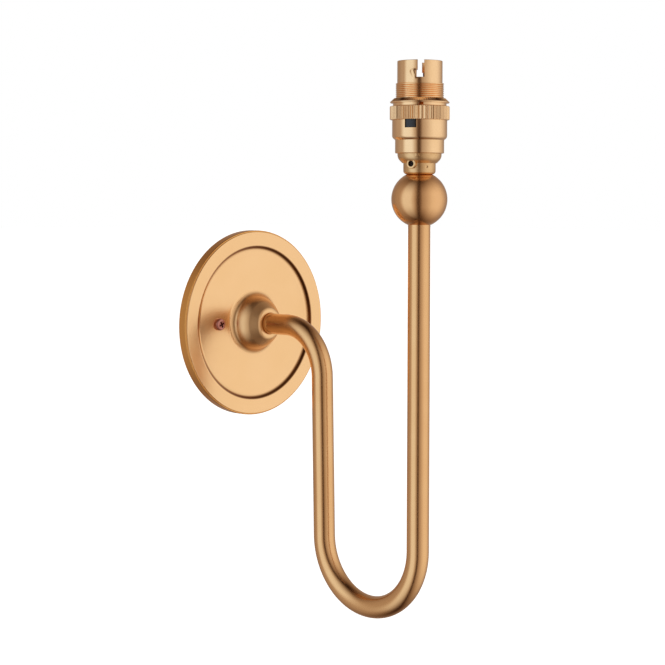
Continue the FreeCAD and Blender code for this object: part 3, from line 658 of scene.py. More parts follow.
# %% [markdown]
# The lampholder's cap stands on the ball: a short neck and a dome. A set screw in a small boss locks
# it on its nipple, a lug keeps the body above from turning, and an assembler's punch mark sits low on
# the right. The boss is turned with its own bore, laid on its side and joined to the dome. The punch
# mark is a shallow bowl pressed into the neck by the shape function.

# %% Lampholder cap
NECK_R = 8.65
NECK_FOOT_ROUND = 1.9
NECK_TOP = 6.0
DOME_FOOT_R = 9.2
DOME_ROUND = 4.5
DOME_R = 11.8
DOME_TOP = 11.2
CAP_WALL = 1.1
CAP_SPIGOT_R = 11.0
CAP_SPIGOT_HIGH = 3.4
CAP_THREAD_HIGH = 5.2
LUG_WIDTH = 2.4
LUG_HIGH = 1.7
LUG_PROUD = 0.5
LUG_TURN = -9.0
LUG_ROUND = 0.25
GRUB_TURN = -29.5
GRUB_HIGH = 5.6
GRUB_BOSS_R = 2.65
GRUB_BOSS_OUT = 10.3
GRUB_BOSS_ROUND = 0.35
GRUB_MOUTH_ROUND = 0.2
GRUB_R = 1.45
GRUB_SUNK = 1.2
GRUB_LENGTH = 2.6
DIMPLE_TURN = math.radians(24.0)
DIMPLE_HIGH = 4.0
DIMPLE_R = 0.75
DIMPLE_DEPTH = 0.4
NECK_SPACING = 0.2
HOLDER_STEPS = 240        # points round the cap and the body
SMALL_STEPS = 64          # points round a small piece
PAST = 1.0                # how far a cutting shape reaches past the metal


def punched(angle, radius, height):
    """Neck surface with one round punch mark."""
    across = (angle - DIMPLE_TURN) * NECK_R
    away = math.hypot(across, height - DIMPLE_HIGH) / DIMPLE_R
    if away > 1 or radius < NECK_R - DIMPLE_DEPTH:
        return radius, height
    return radius - DIMPLE_DEPTH * math.cos(away * math.pi / 2), height


neck_heights = rows(NECK_FOOT_ROUND + 2 * SUPPORT_MM, NECK_TOP - SUPPORT_MM, NECK_SPACING)
dome_low = NECK_TOP + (DOME_R - DOME_FOOT_R)
section = rounded([
    (NIPPLE_HOLE_R, 0),
    (NECK_R, 0, NECK_FOOT_ROUND),
    *((NECK_R, height) for height in neck_heights),
    (NECK_R, NECK_TOP),
    (DOME_FOOT_R, NECK_TOP, SNUG),
    (DOME_R, dome_low, DOME_ROUND),
    (DOME_R, DOME_TOP, SNUG),
    (CAP_SPIGOT_R, DOME_TOP),
    (CAP_SPIGOT_R, DOME_TOP + CAP_SPIGOT_HIGH),
    (CAP_SPIGOT_R - CAP_WALL, DOME_TOP + CAP_SPIGOT_HIGH),
    (CAP_SPIGOT_R - CAP_WALL, dome_low),
    (DOME_FOOT_R - 2 * CAP_WALL, CAP_THREAD_HIGH + CAP_WALL),
    (NIPPLE_HOLE_R, CAP_THREAD_HIGH + CAP_WALL),
])
cap = turned(section, HOLDER_STEPS, punched)
sideways = turned_by(GRUB_TURN) @ shift(z=GRUB_HIGH) @ along_x
boss = turned(rounded([
    (0, NIPPLE_HOLE_R + CAP_WALL),
    (GRUB_BOSS_R, NIPPLE_HOLE_R + CAP_WALL),
    (GRUB_BOSS_R, GRUB_BOSS_OUT, GRUB_BOSS_ROUND),
    (GRUB_R + SNUG, GRUB_BOSS_OUT, GRUB_MOUTH_ROUND),
    (GRUB_R + SNUG, GRUB_BOSS_OUT - GRUB_LENGTH),
    (0, GRUB_BOSS_OUT - GRUB_LENGTH),
]), SMALL_STEPS)
cap = fuse(cap, boss, sideways)
cap = cut(cap, peg(GRUB_R + SNUG, NIPPLE_HOLE_R - PAST, GRUB_BOSS_OUT + PAST), sideways)
lug = slab((CAP_SPIGOT_R - SNUG, -LUG_WIDTH / 2, DOME_TOP - LUG_HIGH),
           (DOME_R + LUG_PROUD, LUG_WIDTH / 2, DOME_TOP))
soften(lug, lug.edges, LUG_ROUND)
cap = fuse(cap, lug, turned_by(LUG_TURN))
add_piece("lampholder_cap", cap, on_ball, dull_cap, ["holder_cap"])

# %% [markdown]
# The set screw is a slotted grub screw with a flat end. Its thread shows as fine rings when the cap is
# off, and its slot catches the light in the bottom of the well. The slot is cut with a plain saw.

# %% Set screw
GRUB_PITCH = 0.5
GRUB_THREAD_DEPTH = 0.2
GRUB_SLOT = (4.0, 0.44, 0.8)      # length, width and depth
GRUB_SLOT_TURN = 65.0
THREAD_STEP = 8           # rows of points in one pitch of a thread
THREAD_SIDES = 48


def threaded(pitch, depth, low, high, outer):
    """Shape function of a screw thread: rounded ridges that climb one pitch in each turn."""
    def shape(angle, radius, height):
        if radius < outer - depth / 2 or not low < height < high:
            return radius, height
        ridge = math.cos(2 * math.pi * (height / pitch) - angle)
        return radius - depth * (0.5 - 0.5 * ridge), height
    return shape


grub_end = GRUB_BOSS_OUT - GRUB_SUNK
grub_low = grub_end - GRUB_LENGTH
wall = [(GRUB_R, h) for h in rows(grub_low, grub_end, GRUB_PITCH / THREAD_STEP)]
fine_thread = threaded(GRUB_PITCH, GRUB_THREAD_DEPTH, grub_low, grub_end, GRUB_R)
grub = turned([(0, grub_low), *wall, (0, grub_end)], THREAD_SIDES, fine_thread)
slot_length, slot_width, slot_depth = GRUB_SLOT
saw_cut = slab((-slot_length / 2, -slot_width / 2, grub_end - slot_depth),
               (slot_length / 2, slot_width / 2, grub_end + PAST))
grub = cut(grub, saw_cut, turned_by(GRUB_SLOT_TURN))
# its near-black finish also paints the shade in the well
add_piece("cap_set_screw", grub, on_ball @ sideways, black_passivated_and_well_shade, ["cap_grub_screw"])

# %% [markdown]
# The body is a brass shell drawn in two steps and trimmed on a lathe, with a soft roll at each step.
# A square notch is milled under the knurled ring for the key of the contact block. It is turned as
# one section and the notch is cut out with a block.

# %% Lampholder body
BODY_LOW_R = 13.1
BODY_HIGH_R = 14.7
BODY_WALL = 1.1
BODY_STEP_FROM = 18.3
BODY_STEP_TO = 19.6
BODY_STEP_ROUND = 2.2
BODY_STEP_FOOT = 0.4
BODY_LEDGE = 20.6
BODY_FOOT_ROUND = 0.5
BODY_SHOULDER = 28.9
BODY_TOP = 33.6
BODY_THREAD_R = 14.35
BODY_EDGE = 0.1
KEY_TURN = -22.5
KEY_WIDTH = 5.7
KEY_ROOM = 0.35
KEY_FROM = 24.7
KEY_R = 14.2
NOTCH_FROM_R = 10.0
NOTCH_TO_R = 16.0

section = rounded([
    (CAP_SPIGOT_R + SNUG, DOME_TOP),
    (BODY_LOW_R, DOME_TOP, BODY_FOOT_ROUND),
    (BODY_LOW_R, BODY_STEP_FROM, BODY_STEP_FOOT),
    (BODY_HIGH_R, BODY_STEP_TO, BODY_STEP_ROUND),
    (BODY_HIGH_R, BODY_SHOULDER, BODY_EDGE),
    (BODY_THREAD_R, BODY_SHOULDER),
    (BODY_THREAD_R, BODY_TOP),
    (BODY_HIGH_R - BODY_WALL, BODY_TOP),
    (BODY_HIGH_R - BODY_WALL, BODY_LEDGE),
    (BODY_LOW_R - BODY_WALL, BODY_LEDGE),
    (BODY_LOW_R - BODY_WALL, DOME_TOP + BODY_WALL),
    (CAP_SPIGOT_R + SNUG, DOME_TOP + BODY_WALL),
])
half_notch = KEY_WIDTH / 2 + KEY_ROOM
notch = slab((NOTCH_FROM_R, -half_notch, KEY_FROM - SNUG), (NOTCH_TO_R, half_notch, BODY_TOP + PAST))
body = cut(turned(section, HOLDER_STEPS), notch, turned_by(KEY_TURN))
add_piece("lampholder_body", body, on_ball, bright_holder, ["holder_body"])

# %% [markdown]
# The contact block is pressed from black phenolic. Its skirt stands on the body's step, its key fills
# the notch, and two bores take the brass pillars. Moulded edges are never sharp, so the key is a block
# with rolled edges, and the face towards the lamp has a rounded rim.

# %% Contact block
THREAD_BORE_R = 11.95
BLOCK_SHOULDER = 34.1
BLOCK_FLOOR = 28.5
BLOCK_SKIRT_WALL = 0.9
BLOCK_FACE = 45.0
BLOCK_EDGE = 0.8
PILLAR_SPACING = 8.6
PILLAR_R = 3.2
KEY_ROUND = 0.3
KEY_STRIPS = 10           # cuts that let the key's face follow the round of the body
BLOCK_STEPS = 160

skirt_r = BODY_HIGH_R - BODY_WALL - SLIDE
section = rounded([
    (skirt_r - BLOCK_SKIRT_WALL, BODY_LEDGE),
    (skirt_r, BODY_LEDGE),
    (skirt_r, BLOCK_SHOULDER),
    (THREAD_BORE_R - SLIDE, BLOCK_SHOULDER),
    (THREAD_BORE_R - SLIDE, BLOCK_FACE, BLOCK_EDGE),
    (0, BLOCK_FACE),
    (0, BLOCK_FLOOR),
    (skirt_r - BLOCK_SKIRT_WALL, BLOCK_FLOOR),
])
block = turned(section, BLOCK_STEPS)
key = slab((skirt_r - BLOCK_SKIRT_WALL / 2, -KEY_WIDTH / 2, KEY_FROM), (KEY_R, KEY_WIDTH / 2, BODY_TOP))
across = [e for e in key.edges if abs((e.verts[0].co - e.verts[1].co).y) > KEY_WIDTH / 2]
bmesh.ops.subdivide_edges(key, edges=across, cuts=KEY_STRIPS, use_grid_fill=True)
for corner in key.verts:
    if corner.co.x > skirt_r:
        corner.co.x = math.sqrt(KEY_R ** 2 - corner.co.y ** 2)
soften(key, sharp_edges(key), KEY_ROUND, 3)
block = fuse(block, key, turned_by(KEY_TURN))
for side in (-1, 1):
    bore = peg(PILLAR_R + SNUG, BLOCK_FLOOR - PAST, BLOCK_FACE + PAST)
    block = cut(block, bore, shift(0, side * PILLAR_SPACING / 2))
add_piece("contact_block_moulding", block, on_ball, moulded_black, ["contact_block"])

# %% [markdown]
# The spring contacts are small turned plungers with a domed tip, polished by use. They look out of the
# pillars inside the barrel and sink 4 mm when a lamp is pushed in, so each rides on its own body.

# %% Spring contacts
PLUNGER_R = 1.9
PLUNGER_COLLAR_R = 2.35
PLUNGER_COLLAR_HIGH = 1.4
PLUNGER_TAIL_R = 1.1
PLUNGER_TAIL = 2.0
PLUNGER_TAIL_ROUND = 0.3
PLUNGER_EDGE = 0.1
PLUNGER_DOME = 0.6        # rounding of the tip, as a share of its radius
PLUNGER_TIP_UNDER_RIM = 11.9
COLLAR_UNDER_FACE = 1.2

collar_top = BLOCK_FACE - COLLAR_UNDER_FACE
collar_foot = collar_top - PLUNGER_COLLAR_HIGH
tip = RIM_TOP - PLUNGER_TIP_UNDER_RIM
section = rounded([
    (0, collar_foot - PLUNGER_TAIL),
    (PLUNGER_TAIL_R, collar_foot - PLUNGER_TAIL, PLUNGER_TAIL_ROUND),
    (PLUNGER_TAIL_R, collar_foot),
    (PLUNGER_COLLAR_R, collar_foot, PLUNGER_EDGE),
    (PLUNGER_COLLAR_R, collar_top, PLUNGER_EDGE),
    (PLUNGER_R, collar_top),
    (PLUNGER_R, tip, PLUNGER_R * PLUNGER_DOME),
    (0, tip),
])
stands = {"a": on_ball @ shift(0, PILLAR_SPACING / 2), "b": on_ball @ shift(0, -PILLAR_SPACING / 2)}
for letter, stand in stands.items():
    add_piece(f"spring_contact_{letter}", turned(section, SMALL_STEPS), stand, plain_brass,
              [f"contact_plunger_{letter}"], body=f"plunger_{letter}")

# %% [markdown]
# Each spring contact stands on a coil spring of drawn wire, seven turns in the bore of its pillar. The
# spring keeps its foot on the pillar's floor and reaches up under its contact's collar; on the real
# lampholder it is squeezed as the contact sinks. Each spring gets a mesh of its own.

# %% Contact springs
PILLAR_BORE_R = 2.5
PILLAR_FLOOR = 30.0
SPRING_WIRE_R = 0.28
SPRING_TURNS = 7
SPRING_STEPS = 32               # rings of wire in one turn
SPRING_SIDES = 12


def coil_spring(coil_r, wire_r, low, high):
    """Wire wound at an even pitch between two heights, with flat cut ends."""
    made = bmesh.new()
    count = SPRING_TURNS * SPRING_STEPS
    slope = math.atan2(high - low, 2 * math.pi * coil_r * SPRING_TURNS)
    rings = []
    for step in range(count + 1):
        angle = 2 * math.pi * step / SPRING_STEPS
        out = Vector(on_circle(angle, 1, 0))
        along = Vector(on_circle(angle + math.pi / 2, 1, 0))
        lifted = Vector((0, 0, math.cos(slope))) - along * math.sin(slope)
        centre = out * coil_r + Vector((0, 0, low + (high - low) * step / count))
        ring = []
        for side in range(SPRING_SIDES):
            across, rise, _ = on_circle(2 * math.pi * side / SPRING_SIDES, wire_r, 0)
            ring.append(made.verts.new(centre + out * across + lifted * rise))
        rings.append(ring)
    joined(made, rings)
    made.faces.new(rings[0])
    made.faces.new(rings[-1][::-1])
    return made


for letter, stand in stands.items():
    wound = coil_spring(PILLAR_BORE_R - SLIDE - SPRING_WIRE_R, SPRING_WIRE_R,
                        PILLAR_FLOOR + SPRING_WIRE_R, collar_foot - SPRING_WIRE_R)
    spring = add_piece(f"contact_spring_{letter}", wound, stand, spring_wire,
                       [f"plunger_spring_{letter}"])
    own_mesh(spring)

# %% [markdown]
# The knurled ring clamps barrel, block and body together. Its grip is a straight knurl, rolled in with
# a pitch of about a millimetre: rounded ridges with a sharp valley between them. Each ridge gets a
# slightly different depth from a fixed series, because a rolled knurl is never quite even.

# %% Knurled union ring
RING_R = 16.0
RING_TOP = 36.4
RING_LIP = 1.1
RING_ROUND = 0.6
KNURL_COUNT = 96
KNURL_DEPTH = 0.45
KNURL_STEPS = 8
KNURL_UNEVEN = 0.2        # the shallowest ridge lacks this share twice over
KNURL_SERIES = 2.4        # the series' step from ridge to ridge, in radians
THREAD_R = 12.86


def knurled(angle, radius, height):
    """Straight knurl: whatever stands further out than the ridged outline is cut back to it."""
    ridge = int(angle / (2 * math.pi) * KNURL_COUNT + 0.5)
    depth = KNURL_DEPTH * (1 - KNURL_UNEVEN + KNURL_UNEVEN * math.sin(ridge * KNURL_SERIES))
    valley = abs(math.sin(angle * KNURL_COUNT / 2)) ** 3
    return min(radius, RING_R - depth * valley), height


ring_low = BODY_SHOULDER + SEAT
section = rounded([
    (BODY_THREAD_R + SNUG, ring_low),
    (RING_R, ring_low, RING_ROUND),
    (RING_R, RING_TOP, RING_ROUND),
    (THREAD_R + SNUG, RING_TOP, SNUG),
    (THREAD_R + SNUG, RING_TOP - RING_LIP),
    (BODY_THREAD_R + SNUG, RING_TOP - RING_LIP),
])
union = turned(section, KNURL_COUNT * KNURL_STEPS, knurled)
add_piece("union_ring_knurled", union, on_ball, bright_holder, ["union_ring"], sharp=50.0)

# %% [markdown]
# The shade ring screws down on the barrel and clamps a lampshade's gallery. It is pressed brass: a hub,
# a thin rim, and a serrated cone that bites so that the shade can't turn. A small notch in the hub
# takes a key. It is the one large piece that moves, so it rides on its own body.

# %% Shade ring
SHADE_HUB_R = 14.3
SHADE_HUB_HIGH = 1.5
SHADE_RING_R = 15.85
SHADE_RIM_HIGH = 0.9
SHADE_RIM_ROUND = 0.35
SHADE_CONE_HIGH = 1.7
SHADE_CONE_IN = 0.4
SHADE_CONE_LAND = 0.75
SHADE_HUB_EDGE = 0.15
SHADE_NOTCH_WIDTH = 2.4
SHADE_NOTCH_DEPTH = 1.1
SHADE_NOTCH_REACH = 0.5   # only the hub's outside is cut, not its bore
CONE_REACH = 0.1
SERRATION_COUNT = 72
SERRATION_STEPS = 10
SERRATION_DEPTH = 0.55

shade_low = RING_TOP + SEAT
shade_rim_low = shade_low + SHADE_HUB_HIGH
shade_rim_top = shade_rim_low + SHADE_RIM_HIGH
shade_bore = THREAD_R + SLIDE
cone_foot = SHADE_RING_R - SHADE_CONE_IN
cone_land = shade_bore + SHADE_CONE_LAND


def serrated(angle, radius, height):
    """Serrations on the cone, and the key notch in the hub."""
    across = radius * math.sin(angle)
    in_front = math.cos(angle) > 0
    if height < shade_rim_low - SUPPORT_MM and radius > SHADE_HUB_R - SHADE_NOTCH_REACH:
        cut_in = in_front and abs(across) < SHADE_NOTCH_WIDTH / 2
        return (radius - SHADE_NOTCH_DEPTH if cut_in else radius), height
    if height > shade_rim_top + SUPPORT_MM / 2 and radius > cone_land - CONE_REACH:
        tooth = (angle * SERRATION_COUNT / (2 * math.pi)) % 1.0
        return radius - SERRATION_DEPTH * abs(2 * tooth - 1), height
    return radius, height


section = rounded([
    (shade_bore, shade_low),
    (SHADE_HUB_R, shade_low, SHADE_HUB_EDGE),
    (SHADE_HUB_R, shade_rim_low),
    (SHADE_RING_R, shade_rim_low, SHADE_RIM_ROUND),
    (SHADE_RING_R, shade_rim_top, SHADE_RIM_ROUND),
    (cone_foot, shade_rim_top),
    (cone_foot, shade_rim_top + SUPPORT_MM),
    (cone_land, shade_rim_top + SHADE_CONE_HIGH),
    (shade_bore, shade_rim_top + SHADE_CONE_HIGH),
])
shade = turned(section, SERRATION_COUNT * SERRATION_STEPS, serrated)
add_piece("shade_ring_serrated", shade, on_ball, bright_holder, ["shade_ring"],
          body="shade_ring", sharp=28.0)

# %% [markdown]
# The barrel is the piece that makes this a bayonet lampholder. A drawn brass tube has a thread rolled
# round its foot and two J slots cut down from its rim. Beside each slot a hook is pressed outwards,
# where the lamp's pin comes to rest. Cutting slots out of a turned tube with a block would leave no
# way to press the hook smoothly, so the upper wall is laid out as a grid of small panels instead: fine
# where a slot or hook is, coarse elsewhere, with the panels inside a slot left out.

# %% Layout of the barrel's wall
BARREL_R = 12.1
BARREL_BORE_R = 11.2
BARREL_BORE_LENGTH = 13.6
THREAD_TOP = 48.5
FLANGE_R = 14.1
FLANGE_THICK = 1.1
J_SLOT_WIDTH = 3.7
J_SLOT_DEPTH = 9.2
HOOK_OPEN = 0.55
HOOK_TURN = math.radians(-18.5)
HOOK_RUN = 0.9
HOOK_RISE = 2.0
HOOK_MID_DEPTH = 7.3
HOOK_R = 1.2
HOOK_PROUD = 0.5
HOOK_SOFT = 2.0
HOOK_POCKET_R = 1.0
HOOK_POCKET_DEPTH = 0.6
HOOK_POCKET_SOFT = 1.5
RIM_SOFT = 0.35
FINE = math.radians(0.6)
COARSE = math.radians(2.4)
FINE_ROW = 0.13
COARSE_ROW = 0.5
FINE_ABOVE_MOUTH = 1.5
RIM_ROWS = (0.75, 0.5, 0.25, 0.1, 0)      # shares of the softened rim, from the wall up
UNDERCUT_HIGH = 0.35

bore_end = RIM_TOP - BARREL_BORE_LENGTH
slot_foot = RIM_TOP - J_SLOT_DEPTH
mouth_top = slot_foot + J_SLOT_WIDTH
fine_top = mouth_top + FINE_ABOVE_MOUTH
undercut_top = THREAD_TOP + UNDERCUT_HIGH
leg_side = math.asin(J_SLOT_WIDTH / 2 / BARREL_R)
mouth_side = math.asin((J_SLOT_WIDTH / 2 + HOOK_OPEN) / BARREL_R)
hook_end = HOOK_TURN - (HOOK_RUN / 2 + HOOK_R + HOOK_SOFT / 2) / BARREL_R
half_turn = (rows(hook_end, -mouth_side, FINE) + rows(-mouth_side, -leg_side, FINE)[1:]
             + rows(-leg_side, leg_side, FINE * 2)[1:] + rows(leg_side, hook_end + math.pi, COARSE)[1:-1])
bearings = half_turn + [a + math.pi for a in half_turn]
heights = (rows(undercut_top, slot_foot, FINE_ROW) + rows(slot_foot, mouth_top, FINE_ROW)[1:]
           + rows(mouth_top, fine_top, FINE_ROW)[1:] + rows(fine_top, RIM_TOP - RIM_SOFT, COARSE_ROW)[1:]
           + [RIM_TOP - RIM_SOFT * share for share in RIM_ROWS])


def hook_mask(angle, height, radius, soft):
    """1 inside the slanted, round-ended hook and 0 outside it, with a soft border."""
    across = math.remainder(angle - HOOK_TURN, math.pi) * BARREL_R
    point = Vector((across, height - (RIM_TOP - HOOK_MID_DEPTH)))
    half = Vector((-HOOK_RUN / 2, HOOK_RISE / 2))
    along = max(-1.0, min(1.0, point.dot(half) / half.length_squared))
    away = (point - half * along).length
    fade = max(0.0, min(1.0, (radius + soft / 2 - away) / soft))
    return fade * fade * (3 - 2 * fade)


def open_panel(angle, height):
    """True where a J slot leaves the wall open."""
    turn = math.remainder(angle, math.pi)
    in_leg = abs(turn) < leg_side
    in_mouth = -mouth_side < turn < leg_side and height < mouth_top
    return height > slot_foot and (in_leg or in_mouth)


print(f"barrel grid {len(bearings)} by {len(heights)}, slot foot at {slot_foot:.1f} mm")

# %% [markdown]
# Now the barrel itself. The upper wall is two skins of panels joined at the rim and round each slot.
# The foot is a chain of rings that goes down over the thread, round the flange and back up the bore.
# The thread climbs one millimetre a turn, the standard pitch of such a ring, with rounded crests.

# %% Bayonet barrel
BARREL_PITCH = 1.0
BARREL_THREAD_DEPTH = 0.55
BARREL_THREAD_ROWS = 14
CREST_FROM = 0.65        # share of the half pitch that the groove takes
THREAD_RUN_OUT = 0.4
UNDERCUT_DEPTH = 0.3
BESIDE = 1e-4            # radians from a panel's edge into its neighbour

flange_top = RING_TOP - RING_LIP
flange_low = flange_top - FLANGE_THICK


def ring_at(made, radius_of, height):
    """One ring of points at the barrel's bearings."""
    return [made.verts.new(on_circle(angle, radius_of(angle, height), height)) for angle in bearings]


def even(radius):
    """Skin of one radius all round."""
    return lambda angle, height: radius


def outside(angle, height):
    """Outer skin: plain wall, pressed hook, softened rim."""
    over = max(0.0, (height - RIM_TOP + RIM_SOFT) / RIM_SOFT)
    softened = RIM_SOFT * (1 - math.sqrt(1 - over ** 2))
    return BARREL_R + HOOK_PROUD * hook_mask(angle, height, HOOK_R, HOOK_SOFT) - softened


def inside(angle, height):
    """Bore with the pocket that the hook leaves behind it."""
    return BARREL_BORE_R + HOOK_POCKET_DEPTH * hook_mask(angle, height, HOOK_POCKET_R, HOOK_POCKET_SOFT)


def thread_skin(angle, height):
    """Rolled thread, run out at both ends."""
    end_room = min(height - flange_top, THREAD_TOP - height)
    depth = BARREL_THREAD_DEPTH * max(0.0, min(1.0, end_room / THREAD_RUN_OUT))
    turn = (height / BARREL_PITCH - angle / (2 * math.pi)) % 1.0
    from_groove = abs(2 * turn - 1)
    return THREAD_R - depth * max(0.0, 1 - from_groove / CREST_FROM)


barrel = bmesh.new()
outer = [ring_at(barrel, outside, h) for h in heights]
inner = [ring_at(barrel, inside, h) for h in heights]
foot = [ring_at(barrel, even(BARREL_R - UNDERCUT_DEPTH), h) for h in (undercut_top, THREAD_TOP)]
thread_rows = rows(THREAD_TOP, flange_top, BARREL_PITCH / BARREL_THREAD_ROWS)
foot += [ring_at(barrel, thread_skin, h) for h in thread_rows]
for radius, height in ((FLANGE_R, flange_top), (FLANGE_R, flange_low),
                       (THREAD_BORE_R, flange_low), (THREAD_BORE_R, bore_end)):
    foot.append(ring_at(barrel, even(radius), height))


def panel(first, second, start, end):
    """Face between two rings of the barrel, from one bearing to another."""
    barrel.faces.new([first[start], first[end], second[end], second[start]])


count = len(bearings)
for column in range(count):
    after = (column + 1) % count
    middle = bearings[column] + ((bearings[after] - bearings[column]) % (2 * math.pi)) / 2
    for row in range(len(heights) - 1):
        level = (heights[row] + heights[row + 1]) / 2
        if open_panel(middle, level):
            continue
        for skin in (outer, inner):
            panel(skin[row], skin[row + 1], column, after)
        top_open = row == len(heights) - 2 or open_panel(middle, (heights[row + 1] + heights[row + 2]) / 2)
        if top_open:
            panel(outer[row + 1], inner[row + 1], column, after)
        if row and open_panel(middle, (heights[row - 1] + heights[row]) / 2):
            panel(outer[row], inner[row], column, after)
        for edge, beside in ((column, bearings[column] - BESIDE), (after, bearings[after] + BESIDE)):
            if open_panel(beside, level):
                barrel.faces.new([outer[row][edge], outer[row + 1][edge],
                                  inner[row + 1][edge], inner[row][edge]])
joined(barrel, [outer[0]] + foot + [inner[0]])
bmesh.ops.delete(barrel, geom=[v for v in barrel.verts if not v.link_faces], context="VERTS")
add_piece("bayonet_barrel_threaded", barrel, on_ball, bright_holder, ["bayonet_barrel"],
          sharp=42.0)

# %% [markdown]
# The plate screws are pan heads with a cross recess, copper plated. The recess is what the eye finds
# first, so it is cut as on a real one: four tapered wings round a pointed middle. The wings are thin
# blocks narrowed towards the bottom.

# %% Plate screws
PLATE_SCREW_R = 2.0
PAN_HEAD_R = 3.5
PAN_HEAD_HIGH = 2.3
PAN_HEAD_ROUND = 1.5
PAN_HEAD_EDGE = 0.15
CROSS_LENGTH = 4.4
CROSS_WIDTH = 1.1
CROSS_DEPTH = 2.2
CROSS_TAPER = 0.6
CROSS_TURN = 45.0
CROSS_TURN_OFF = 20.0
SCREW_PITCH = 0.7
SCREW_THREAD_DEPTH = 0.4
SCREW_NECK = 0.3          # plain length under the head
SCREW_STEPS = 80

head_top = FIELD_OUT + PAN_HEAD_HIGH
thread_end = FIELD_OUT - SCREW_NECK
head = rounded([
    (PLATE_SCREW_R, FIELD_OUT),
    (PAN_HEAD_R, FIELD_OUT, PAN_HEAD_EDGE),
    (PAN_HEAD_R, head_top, PAN_HEAD_ROUND),
    (0, head_top),
])
shank = [(PLATE_SCREW_R, h) for h in rows(0, thread_end, SCREW_PITCH / THREAD_STEP)]
screw_thread = threaded(SCREW_PITCH, SCREW_THREAD_DEPTH, -PAST, thread_end, PLATE_SCREW_R)
for name, side in (("left", -1), ("right", 1)):
    screw = turned([(0, 0), *shank, *head], SCREW_STEPS, screw_thread)
    for wing in (0, 90):
        cutter = slab((-CROSS_LENGTH / 2, -CROSS_WIDTH / 2, head_top - CROSS_DEPTH),
                      (CROSS_LENGTH / 2, CROSS_WIDTH / 2, head_top + PAST))
        for corner in cutter.verts:
            if corner.co.z < head_top:
                corner.co.x *= CROSS_TAPER
                corner.co.y *= CROSS_TAPER
        screw = cut(screw, cutter, turned_by(wing))
    spot = on_wall @ shift(side * PLATE_SCREW_AT) @ turned_by(CROSS_TURN + CROSS_TURN_OFF * side)
    add_piece(f"plate_screw_{name}", screw, spot, coppered, ["plate_screws"])

# %% [markdown]
# Behind the plate. The strap is cut from zinc plated steel strip, punched for the cable and the screws,
# with the small rolled edge that punching leaves. The nipple that carries the tube ends in a thread,
# and a hexagon nut pulls it up against the boss. The nut is turned like a washer and cut back to six
# flats by a shape function, which leaves the curved chamfers that real nuts have.

# %% Strap, nipple and nut
STRAP_LENGTH = 96.0
STRAP_WIDTH = 16.0
STRAP_THICK = 1.5
STRAP_CABLE_R = 5.5
STRAP_SLOT_AT = 38.5
STRAP_SLOT_LENGTH = 9.0
STRAP_SLOT_WIDTH = 4.5
EARTH_SCREW_AT = 9.6
EARTH_SCREW_R = 1.7
STRAP_EDGE = 0.2
NUT_FLATS = 13.0
NUT_THICK = 3.0
NUT_FACE_IN = 0.2
LOCK_THICK = 0.8
NIPPLE_R = NIPPLE_HOLE_R - SNUG
NIPPLE_BORE_R = 3.4
NIPPLE_TAIL = 2.0
NIPPLE_IN_TUBE = 9.0
NIPPLE_PITCH = 1.0
NIPPLE_THREAD_DEPTH = 0.5
NIPPLE_LEAD = 0.1         # plain end before the thread
NIPPLE_STEPS = 96
END_SPACING = 7.5         # degrees between two points of a round end


def stadium(length, width, low, high):
    """Bar with round ends, along X."""
    made = bmesh.new()
    end_at = (length - width) / 2
    outline = []
    for middle, start in ((end_at, -90), (-end_at, 90)):
        for angle in rows(start, start + 180, END_SPACING):
            x, y, _ = on_circle(math.radians(angle), width / 2, 0)
            outline.append((middle + x, y))
    lower = [made.verts.new((x, y, low)) for x, y in outline]
    upper = [made.verts.new((x, y, high)) for x, y in outline]
    made.faces.new(lower)
    made.faces.new(upper)
    joined(made, [lower, upper])
    return made


strap = stadium(STRAP_LENGTH, STRAP_WIDTH, 0, STRAP_THICK)
soften(strap, sharp_edges(strap), STRAP_EDGE)
punch = (-PAST, 2 * STRAP_THICK)          # from and to, through the strip
holes = [(0, peg(STRAP_CABLE_R, *punch)), (EARTH_SCREW_AT, peg(EARTH_SCREW_R + SNUG, *punch))]
for side in (-1, 1):
    holes.append((side * PLATE_SCREW_AT, peg(PLATE_SCREW_R + SNUG, *punch)))
    holes.append((side * STRAP_SLOT_AT, stadium(STRAP_SLOT_LENGTH, STRAP_SLOT_WIDTH, *punch)))
for along, hole in holes:
    strap = cut(strap, hole, shift(along))
add_piece("mounting_strap_punched", strap, on_wall, zinced, ["mounting_strap"])

nut_high = BOSS_INSIDE - LOCK_THICK
nut_low = nut_high - NUT_THICK
nipple_low = nut_low - NIPPLE_TAIL
nipple_high = TUBE_START + NIPPLE_IN_TUBE
wall = [(NIPPLE_R, h) for h in rows(nipple_low, nipple_high, NIPPLE_PITCH / THREAD_STEP)]
section = [(NIPPLE_BORE_R, nipple_low), *wall, (NIPPLE_BORE_R, nipple_high)]
nipple_thread = threaded(NIPPLE_PITCH, NIPPLE_THREAD_DEPTH, nipple_low + NIPPLE_LEAD, nipple_high, NIPPLE_R)
nipple = turned(section, NIPPLE_STEPS, nipple_thread)
add_piece("wall_nipple_threaded", nipple, on_wall, plain_brass, ["wall_nipple"])


def hexagonal(angle, radius, height):
    """Six flats cut on a turned blank."""
    off_flat = math.remainder(angle - math.pi / 6, math.pi / 3)
    return min(radius, NUT_FLATS / 2 / math.cos(off_flat)), height


corner_r = NUT_FLATS / math.sqrt(3)
chamfer = (corner_r - NUT_FLATS / 2) / 2
face_r = NUT_FLATS / 2 - NUT_FACE_IN
section = [(NIPPLE_HOLE_R, nut_low), (face_r, nut_low), (corner_r, nut_low + chamfer),
           (corner_r, nut_high - chamfer), (face_r, nut_high), (NIPPLE_HOLE_R, nut_high)]
add_piece("hexagon_nut", turned(section, NIPPLE_STEPS, hexagonal), on_wall, plain_brass, ["hex_nut"])

# %% [markdown]
# The pieces that stay as they were modelled: small turned and punched parts that sit inside and
# barely show. Their shapes are right, so they only get their finishes.

